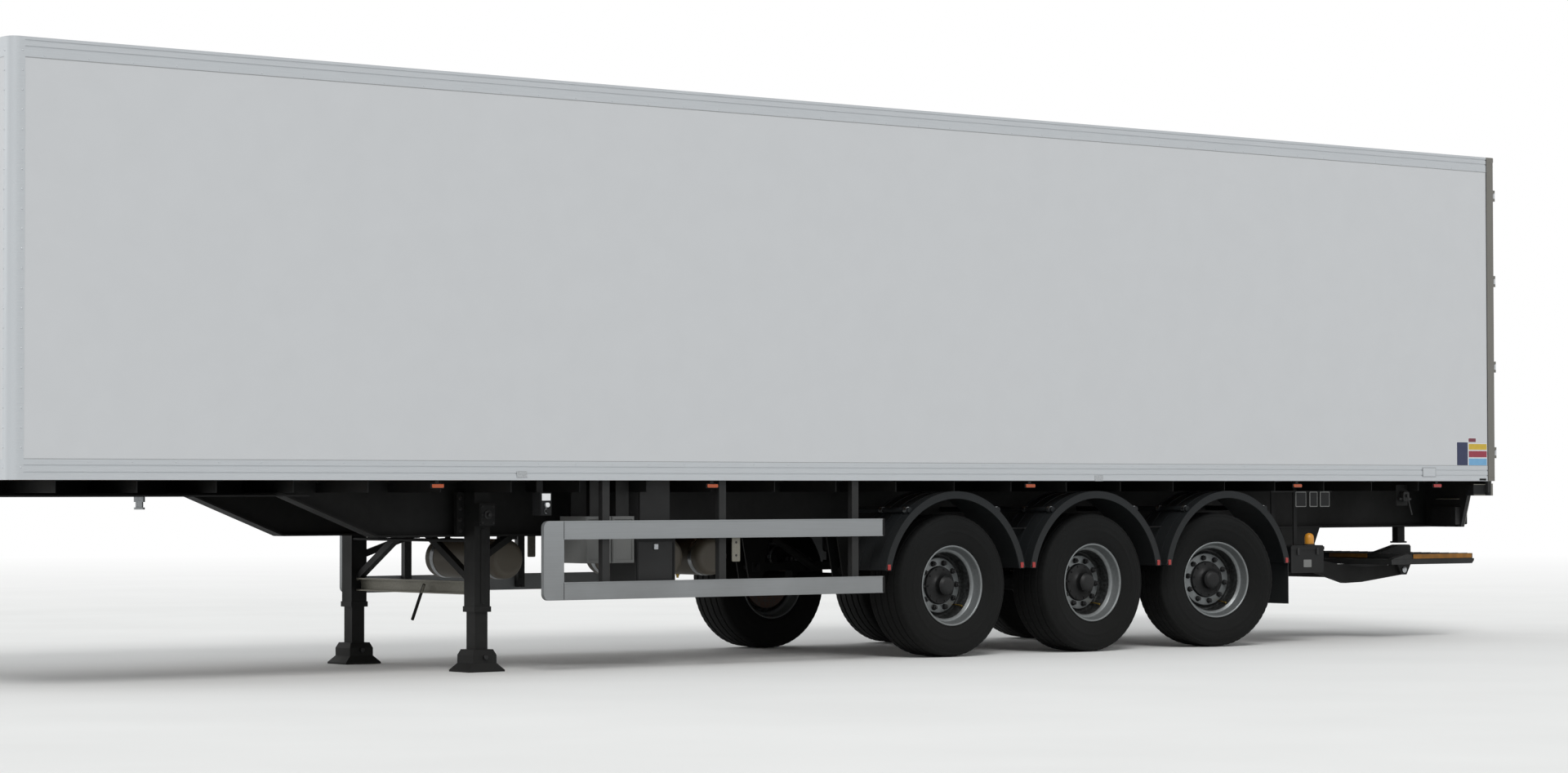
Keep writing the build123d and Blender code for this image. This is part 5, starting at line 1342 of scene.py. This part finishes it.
@dataclass
class TailLift:
    """Strips, wedges, pins, rests and grip ribs of the folded tail lift."""

    pivot: Point = joint_place("lift_arms_pivot")
    tip: Point = joint_place("lift_platform_pivot")
    arm_y: float = 0.600
    half: float = span("lift_platform", Axis.Y)[1]
    rear: float = -6.600
    top: float = 0.688

    def build(self) -> None:
        """Makes the lift's pieces, each riding on its own body."""
        self.platform_edges()
        self.pins()
        self.rests()

    def platform_edges(self) -> None:
        """Yellow strips on the folded platform's sides and tip, wedges at its sides and grip ribs on top."""
        strip = slab((self.rear, -5.880), (self.half, self.half + 0.004), around(0.670, 0.018), 0.001)
        outline = np.array([(-5.868, 0.6475), (-5.640, 0.6475), (-5.640, 0.654), (-5.790, 0.687),
                            (-5.868, 0.687)])
        wedge = prism(outline, (self.half - 0.062, self.half), Axis.Y, 0.002)
        edge = slab((-5.871, -5.8655), (0.240, 0.660), (0.655, self.top), 0.001)
        rib = slab((self.rear, -5.890), (-0.006, 0.006), (0.6895, 0.6925), 0.001)
        rows = np.arange(-self.half + 0.05, self.half - 0.04, 0.10)
        # The strips' yellow paint is drawn brown: painted shade
        make_pieces(PLATFORM, ("platform_warning_strips", strip.paired(), LIFT_YELLOW_IN_SHADE),
                    ("platform_grip_ribs", rib.at([(0, y, 0) for y in rows]), LIFT_GREY),
                    ("platform_wedges", wedge.paired(), LIFT_GREY),
                    ("platform_tip_strips", edge.paired(), LIFT_YELLOW_IN_SHADE))

    def pins(self) -> None:
        """Washer and nut on each arm's pivot, and a cap on each pin of the platform."""
        outer = self.arm_y + 0.052
        washer = spindle([(0, 0.056), (0.008, 0.056), (0.011, 0.050)], 32)
        nut = washer + prism(circle(0.026, 6), (0.011, 0.030), Axis.Y, 0.003)
        cap = spindle([(0, 0.026), (0.006, 0.026), (0.008, 0.022)], 24)
        for name, shape, (x, _, z), body, finish in (
                ("lift_pivot_nuts", nut, self.pivot, TRAILER, DARK_STEEL),
                ("platform_pin_caps", cap, self.tip, PLATFORM, STEEL)):
            make_object(name, shape.moved(x, outer, z).paired(), body, finish)

    def rests(self) -> None:
        """Post below each beam with a rubber foot, the ramped block below it, and rubber pads on the arms."""
        x, y = -6.320, self.arm_y
        post = slab(around(x, 0.044), around(y, 0.032), (0.782, 0.906), 0.003)
        foot = slab(around(x, 0.057), around(y, 0.044), (0.772, 0.786), 0.003)
        ramp = np.array([(-6.420, 0.689), (-6.020, 0.689), (-6.020, 0.694), (-6.290, 0.758), (-6.405, 0.758),
                         (-6.420, 0.744)])
        block = prism(ramp, around(y, 0.048), Axis.Y, 0.003)
        pad = slab((-6.160, -5.520), around(y, 0.026), (0.565, 0.6045), 0.003)
        make_pieces(TRAILER, ("rest_posts", post.paired(), CHASSIS),
                    ("rest_post_feet", foot.paired(), RUBBER))
        make_pieces(ARMS, ("arm_pads", pad.paired(), RUBBER))
        make_pieces(PLATFORM, ("rest_blocks", block.paired(), LIFT_GREY))


@dataclass
class Equipment:
    """Lids, latches, bands and small fittings of the things hung under the body."""

    pump_top: float = 0.775
    cap_in: float = 0.076
    cap_y: float = 1.120
    store_face: float = span("store_boxes", Axis.Y)[1]
    tank_x: tuple[float, ...] = (2.570, 1.180, 0.780)
    tank_z: float = 0.745
    tank_bands: Pair = (-0.320, 0.320)
    unit_face: float = span("control_panel", Axis.Y)[1]
    unit_x: float = sum(span("control_panel", Axis.X)) / 2
    sign_y: float = 1.204
    valve: Point = (-5.790, 1.165, 1.160)

    def build(self) -> None:
        """Makes the pieces of the pump box, store boxes, tanks, control unit, signs and hand valve."""
        self.pump_box()
        self.store_boxes()
        self.air_tanks()
        self.control_unit()
        self.signs()
        self.lever_valve()

    def pump_box(self) -> None:
        """Lid lip, latches, a blank plate and a yellow cap on the lift's pump box, and the stay beside it."""
        x, y, z = (span("pump_box", axis) for axis in Axis)
        top, out, middle = self.pump_top, y[1], sum(x) / 2
        lid = frame_of(grown(x, 0.004), grown(y, 0.004), 0.012, (top - 0.036, top - 0.010), Axis.Z)
        latch = slab((-0.012, 0.012), (out, out + 0.010), (top - 0.075, top - 0.018), 0.002)
        label = plate(around(middle, 0.045), (z[0] + 0.045, z[0] + 0.105), 0.006, (out, out + 0.002), 0.0006)
        cap = spindle([(-0.002, 0.036), (0.012, 0.038), (0.052, 0.038), (0.074, 0.035), (0.088, 0.025),
                       (0.095, 0.010), (0.096, 0)], 40)
        collar = lathe([(-0.002, 0.030), (-0.002, 0.046), (0.008, 0.046), (0.010, 0.036)], 40, closed=True)
        place = (x[0] + self.cap_in, self.cap_y, top)
        stay = slab((x[1] - 0.135, -4.185), (y[0] + 0.050, y[0] + 0.056), (0.872, 0.897), 0.001)
        make_pieces(TRAILER, ("pump_box_lid", lid, BOX_BLACK),
                    ("pump_box_latches", latch.at([(at, 0, 0) for at in around(middle, 0.11)]), DARK_STEEL),
                    ("pump_box_blank_plate", label, BOX_GREY),
                    ("pump_box_cap", cap.turned(Axis.X, 90).moved(*place), CAP_YELLOW),
                    ("pump_box_cap_collar", collar.turned(Axis.X, 90).moved(*place), RUBBER),
                    ("wing_stay", stay, GALVANISED))

    def store_boxes(self) -> None:
        """A door with a raised edge and a latch on the outer side of each store box."""
        face = self.store_face
        edges, latches = [], []
        for x, z in (((2.190, 2.400), (0.722, 1.040)), ((1.992, 2.182), (0.722, 1.040)),
                     ((1.640, 1.978), (0.585, 0.885))):
            edges.append(frame_of(grown(x, -0.006), grown(z, -0.006), 0.014, (face, face + 0.006), Axis.Y))
            middle, top = sum(x) / 2, z[1]
            latch = slab(around(middle, 0.018), (face, face + 0.012), (top - 0.075, top - 0.035), 0.003)
            latches.append(latch)
        make_pieces(TRAILER, ("store_box_edges", joined(edges[:2]), BOX_GREY),
                    ("store_box_edge_low", edges[2], BOX_BLACK),
                    ("store_box_latches", joined(latches), STEEL))

    def air_tanks(self) -> None:
        """Two bands round each tank and a drain valve below."""
        band = lathe([(-0.020, 0.1375), (-0.020, 0.1405), (0.020, 0.1405), (0.020, 0.1375)], 56, closed=True)
        drain = spindle([(0, 0.014), (0.010, 0.014), (0.012, 0.009), (0.026, 0.009), (0.027, 0)], 16)
        drain = drain.turned(Axis.X, -90).moved(z=-0.137)
        places = [(x, 0, self.tank_z) for x in self.tank_x]
        bands = band.at([(0, y, 0) for y in self.tank_bands])
        make_pieces(TRAILER, ("tank_bands", bands.at(places), STEEL),
                    ("tank_drains", drain.at(places), BRASS))

    def control_unit(self) -> None:
        """Pale blank label over a dark face with two round valve knobs, on the brake control unit."""
        out, x = self.unit_face, self.unit_x
        face = plate(around(x, 0.041), (1.054, 1.201), 0.008, (out, out + 0.004), 0.0015)
        label = plate(around(x, 0.035), (1.150, 1.196), 0.003, (out + 0.003, out + 0.0052), 0.0004)
        stem = spindle([(0, 0.017), (0.003, 0.017), (0.004, 0.009), (0.012, 0.009)], 28)
        knob = spindle([(0.011, 0.013), (0.013, 0.016), (0.022, 0.016), (0.025, 0.013), (0.026, 0)], 28)
        places = [(x, out + 0.003, z) for z in (1.120, 1.080)]
        make_pieces(TRAILER, ("control_unit_face", face, BOX_BLACK),
                    ("control_unit_label", label, SIGN_WHITE), ("control_stems", stem.at(places), STEEL),
                    ("control_knob_upper", knob.at(places[:1]), SIGN_WHITE),
                    ("control_knob_lower", knob.at(places[1:]), BOX_BLACK))

    def signs(self) -> None:
        """Three small blank plates hung in a row from a strip below the cross bearers."""
        y, z = self.sign_y, (1.080, 1.200)
        strip = slab((-4.860, -4.160), (y - 0.008, y), (1.196, 1.2065), 0.001)
        make_object("sign_strip", strip, TRAILER, CHASSIS)
        for index, x in enumerate(((-4.560, -4.440), (-4.690, -4.600), (-4.830, -4.720)), start=1):
            face = plate(grown(x, -0.006), grown(z, -0.006), 0.004, (y + 0.0025, y + 0.0042), 0.0004)
            make_pieces(TRAILER, (f"sign_back_{index}", plate(x, z, 0.006, (y, y + 0.003), 0.0008), BOX_GREY),
                        (f"sign_face_{index}", face, BOX_BLACK))

    def lever_valve(self) -> None:
        """Hand valve on a plate welded to a cross bearer: body, two ports and a lever bent downwards."""
        x, y, z = self.valve
        backing = plate((x - 0.063, x + 0.075), (1.085, 1.255), 0.010, (1.112, 1.118), 0.001)
        body = plate(around(x, 0.035), around(z, 0.040), 0.016, (1.117, y), 0.004)
        ports = tube(np.linspace([x - 0.070, 1.141, z - 0.020], [x + 0.070, 1.141, z - 0.020], 4), 0.011, 14)
        stem = spindle([(0, 0.014), (0.018, 0.014), (0.020, 0.011)], 20).moved(x, y - 0.002, z + 0.005)
        path = bent([(x, 1.178, 1.172), (x, 1.184, 1.120), (x - 0.022, 1.200, 1.010)], 0.02)
        make_pieces(TRAILER, ("valve_plate", backing, CHASSIS),
                    ("valve_body", body + ports + stem, DARK_STEEL),
                    ("valve_lever", tube(path, 0.0065, 10), DARK_STEEL))


@dataclass
class Lamps:
    """Side markers and rear lamps: dark housings with clear-coated lenses."""

    marker_x: tuple[float, ...] = (3.710, 1.440, -1.540, -4.400, -6.050)
    marker_z: float = 1.247
    face: float = span("lamps", Axis.Y)[1]
    rear_x: float = span("lamps", Axis.X)[0]
    rear_y: Pair = (0.700, 0.975)
    rear_z: Pair = (0.925, 1.070)

    def build(self) -> None:
        """Makes housings and lenses; the housings stand for the CAD lamps."""
        places = [(x, 0, 0) for x in self.marker_x]
        back = self.face - 0.018
        base = slab((-0.0525, 0.0525), (back, back + 0.010), around(self.marker_z, 0.016), 0.002)
        tab = slab((-0.015, 0.015), (back, back + 0.004), (1.255, 1.285), 0.001)
        block = prism(rounded(self.rear_y, self.rear_z, 0.012), (self.rear_x + 0.055, self.rear_x + 0.010),
                      Axis.X, 0.003)
        markers = (base + tab).at(places).paired()
        housings = make_object("lamp_housings", markers + block.paired(), TRAILER, BOX_BLACK)
        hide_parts("lamps")
        depth = (self.face - 0.009, self.face)
        lens = plate((-0.046, 0.046), around(self.marker_z, 0.012), 0.008, depth, 0.002)
        make_pieces(TRAILER, ("marker_lenses_amber", lens.at(places[:-1]).paired(), AMBER),
                    ("marker_lenses_red", lens.at(places[-1:]).paired(), RED_LENS))
        self.rear_lenses()

    def rear_lenses(self) -> None:
        """Three fields on each rear lamp: red outside, amber, and clear towards the middle, ribbed across."""
        table = (("clear", CLEAR_LENS), ("amber", AMBER), ("red", RED_LENS))
        low, high = grown(self.rear_y, -0.008)
        width = (high - low) / len(table)
        z = grown(self.rear_z, -0.010)
        levels = np.arange(z[0] + 0.012, z[1] - 0.008, 0.010)
        skin = (self.rear_x - 0.0015, self.rear_x + 0.001)
        for index, (name, finish) in enumerate(table):
            reach = grown((low + index * width, low + (index + 1) * width), -0.002)
            pane = prism(rounded(reach, z, 0.010), (self.rear_x + 0.012, self.rear_x), Axis.X, 0.004)
            bar = slab(skin, grown(reach, -0.008), (-0.002, 0.002), 0.0007)
            lenses = pane + bar.at([(0, 0, level) for level in levels])
            make_object(f"rear_lenses_{name}", lenses.paired(), TRAILER, finish)


@dataclass
class Studio:
    """Pale floor, soft light and the camera at the photograph's place."""

    floor_reach: float = 160.0
    floor_rings: int = 25
    floor_columns: int = 96
    fade: Pair = (12.0, 45.0)
    camera_place: Point = (17.321, 21.693, 1.2106)
    yaw: float = 38.956
    pitch: float = 1.6
    roll: float = -0.082
    focal_pixels: float = 4880.0
    sensor: float = 36.0
    widen: float = 0.94
    view_end: float = 500.0

    def build(self) -> None:
        """Makes floor, sky, lights and camera."""
        self.make_floor()
        self.make_sky()
        self.make_sun("key_light", lean=(-35.0, 28.0), strength=1.3, softness=22.0)
        self.make_sun("fill_light", lean=(40.0, 60.0), strength=0.5, softness=60.0)
        self.make_camera()

    def seen(self, tree: bpy.types.NodeTree) -> bpy.types.NodeSocket:
        """One for what the camera sees, also in metal and through glass, and zero for light on things.

        Args:
            tree: the node tree of the floor or the sky.

        Returns:
            The socket of that number.
        """
        path = add_node(tree, "ShaderNodeLightPath").node.outputs
        total = path["Is Camera Ray"]
        for name in ("Is Glossy Ray", "Is Transmission Ray"):
            total = add_node(tree, "ShaderNodeMath", {0: total, 1: path[name]}, operation="MAXIMUM")
        return total

    def make_floor(self) -> None:
        """A pale disc that fades to white far out.

        It is a polar grid: the radius grows with the square of the row, so the rings widen outwards.
        """
        rows = np.linspace(0, 1, self.floor_rings)[:, None] ** 2 * self.floor_reach
        turn = np.linspace(0, 2 * np.pi, self.floor_columns, endpoint=False)[None, :]
        points = np.stack([rows * np.cos(turn), rows * np.sin(turn), np.zeros(rows.shape) * turn], axis=-1)
        floor = make_object("studio_floor", surface(points, wrap=True), None)
        material = bpy.data.materials.new("studio_floor")
        material.use_nodes = True
        tree = material.node_tree
        place = add_node(tree, "ShaderNodeTexCoord", output="Object")
        cloud = add_node(tree, "ShaderNodeTexNoise", {"Vector": place, "Scale": 0.6})
        tone = add_node(tree, "ShaderNodeMapRange", {"Value": cloud, "From Min": 0.3, "From Max": 0.7})
        colors = {FACTOR: tone, COLOR_A: linear("#E4E4E2"), COLOR_B: linear("#E8E8E6")}
        color = add_node(tree, "ShaderNodeMix", colors, COLOR_OUT, data_type="RGBA")
        shader = tree.nodes["Principled BSDF"]
        plug(shader, {"Base Color": color, "Roughness": 0.85})
        away = add_node(tree, "ShaderNodeVectorMath", {0: place}, "Value", operation="LENGTH")
        low, high = self.fade
        share = add_node(tree, "ShaderNodeMapRange", {"Value": away, "From Min": low, "From Max": high})
        share = add_node(tree, "ShaderNodeMath", {0: share, 1: self.seen(tree)}, operation="MULTIPLY")
        glow = add_node(tree, "ShaderNodeEmission", {"Color": (1, 1, 1, 1), "Strength": 1.0})
        both = add_node(tree, "ShaderNodeMixShader", {0: share, 1: shader.outputs[0], 2: glow})
        plug(tree.nodes["Material Output"], {"Surface": both})
        floor.data.materials.append(material)

    def make_sky(self) -> None:
        """White where it is seen, and a soft pale sky for the light."""
        world = bpy.data.worlds.new("studio_sky")
        world.use_nodes = True
        tree = world.node_tree
        white = add_node(tree, "ShaderNodeBackground", {"Color": (1, 1, 1, 1), "Strength": 1.0})
        light = add_node(tree, "ShaderNodeBackground", {"Color": linear("#F6F8FA"), "Strength": 0.7})
        both = add_node(tree, "ShaderNodeMixShader", {0: self.seen(tree), 1: light, 2: white})
        plug(tree.nodes["World Output"], {"Surface": both})
        bpy.context.scene.world = world

    def make_sun(self, name: str, lean: Pair, strength: float, softness: float) -> None:
        """A soft distant light.

        Args:
            name: the light's name.
            lean: degrees that it leans over about X and Y.
            strength: of the light.
            softness: how wide it looks in the sky, in degrees.
        """
        lamp = bpy.data.lights.new(name, "SUN")
        lamp.energy = strength
        lamp.angle = math.radians(softness)
        obj = bpy.data.objects.new(name, lamp)
        obj.rotation_euler = (math.radians(lean[0]), math.radians(lean[1]), 0)
        bpy.context.scene.collection.objects.link(obj)

    def make_camera(self) -> None:
        """The camera found from the photograph, its lens a little shorter so that the front end shows too."""
        yaw, pitch, roll = (math.radians(value) for value in (self.yaw, self.pitch, self.roll))
        ahead = Vector((-math.sin(yaw) * math.cos(pitch), -math.cos(yaw) * math.cos(pitch), math.sin(pitch)))
        right = Vector((-math.cos(yaw), math.sin(yaw), 0))
        up = right.cross(ahead)
        lens = bpy.data.cameras.new("camera")
        lens.sensor_width = self.sensor
        lens.lens = self.focal_pixels * self.sensor / PHOTO_FRAME[0] * self.widen
        lens.clip_end = self.view_end
        obj = bpy.data.objects.new("camera", lens)
        turn = Matrix((right, up, -ahead)).transposed() @ Matrix.Rotation(roll, 3, "Z")
        obj.matrix_world = Matrix.Translation(self.camera_place) @ turn.to_4x4()
        bpy.context.scene.collection.objects.link(obj)
        bpy.context.scene.camera = obj
        bpy.context.scene.view_settings.view_transform = "Standard"


def main() -> None:
    """Builds the whole scene."""
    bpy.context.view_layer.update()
    dress_frame()
    for part in (Wheels, BoxBody, RunningGear, Mudguards, LandingLegs, SideGuards, TailLift, Equipment, Lamps,
                 Studio):
        LOG.info("building %s", part.__name__)
        part().build()


if __name__ == "__main__":
    main()
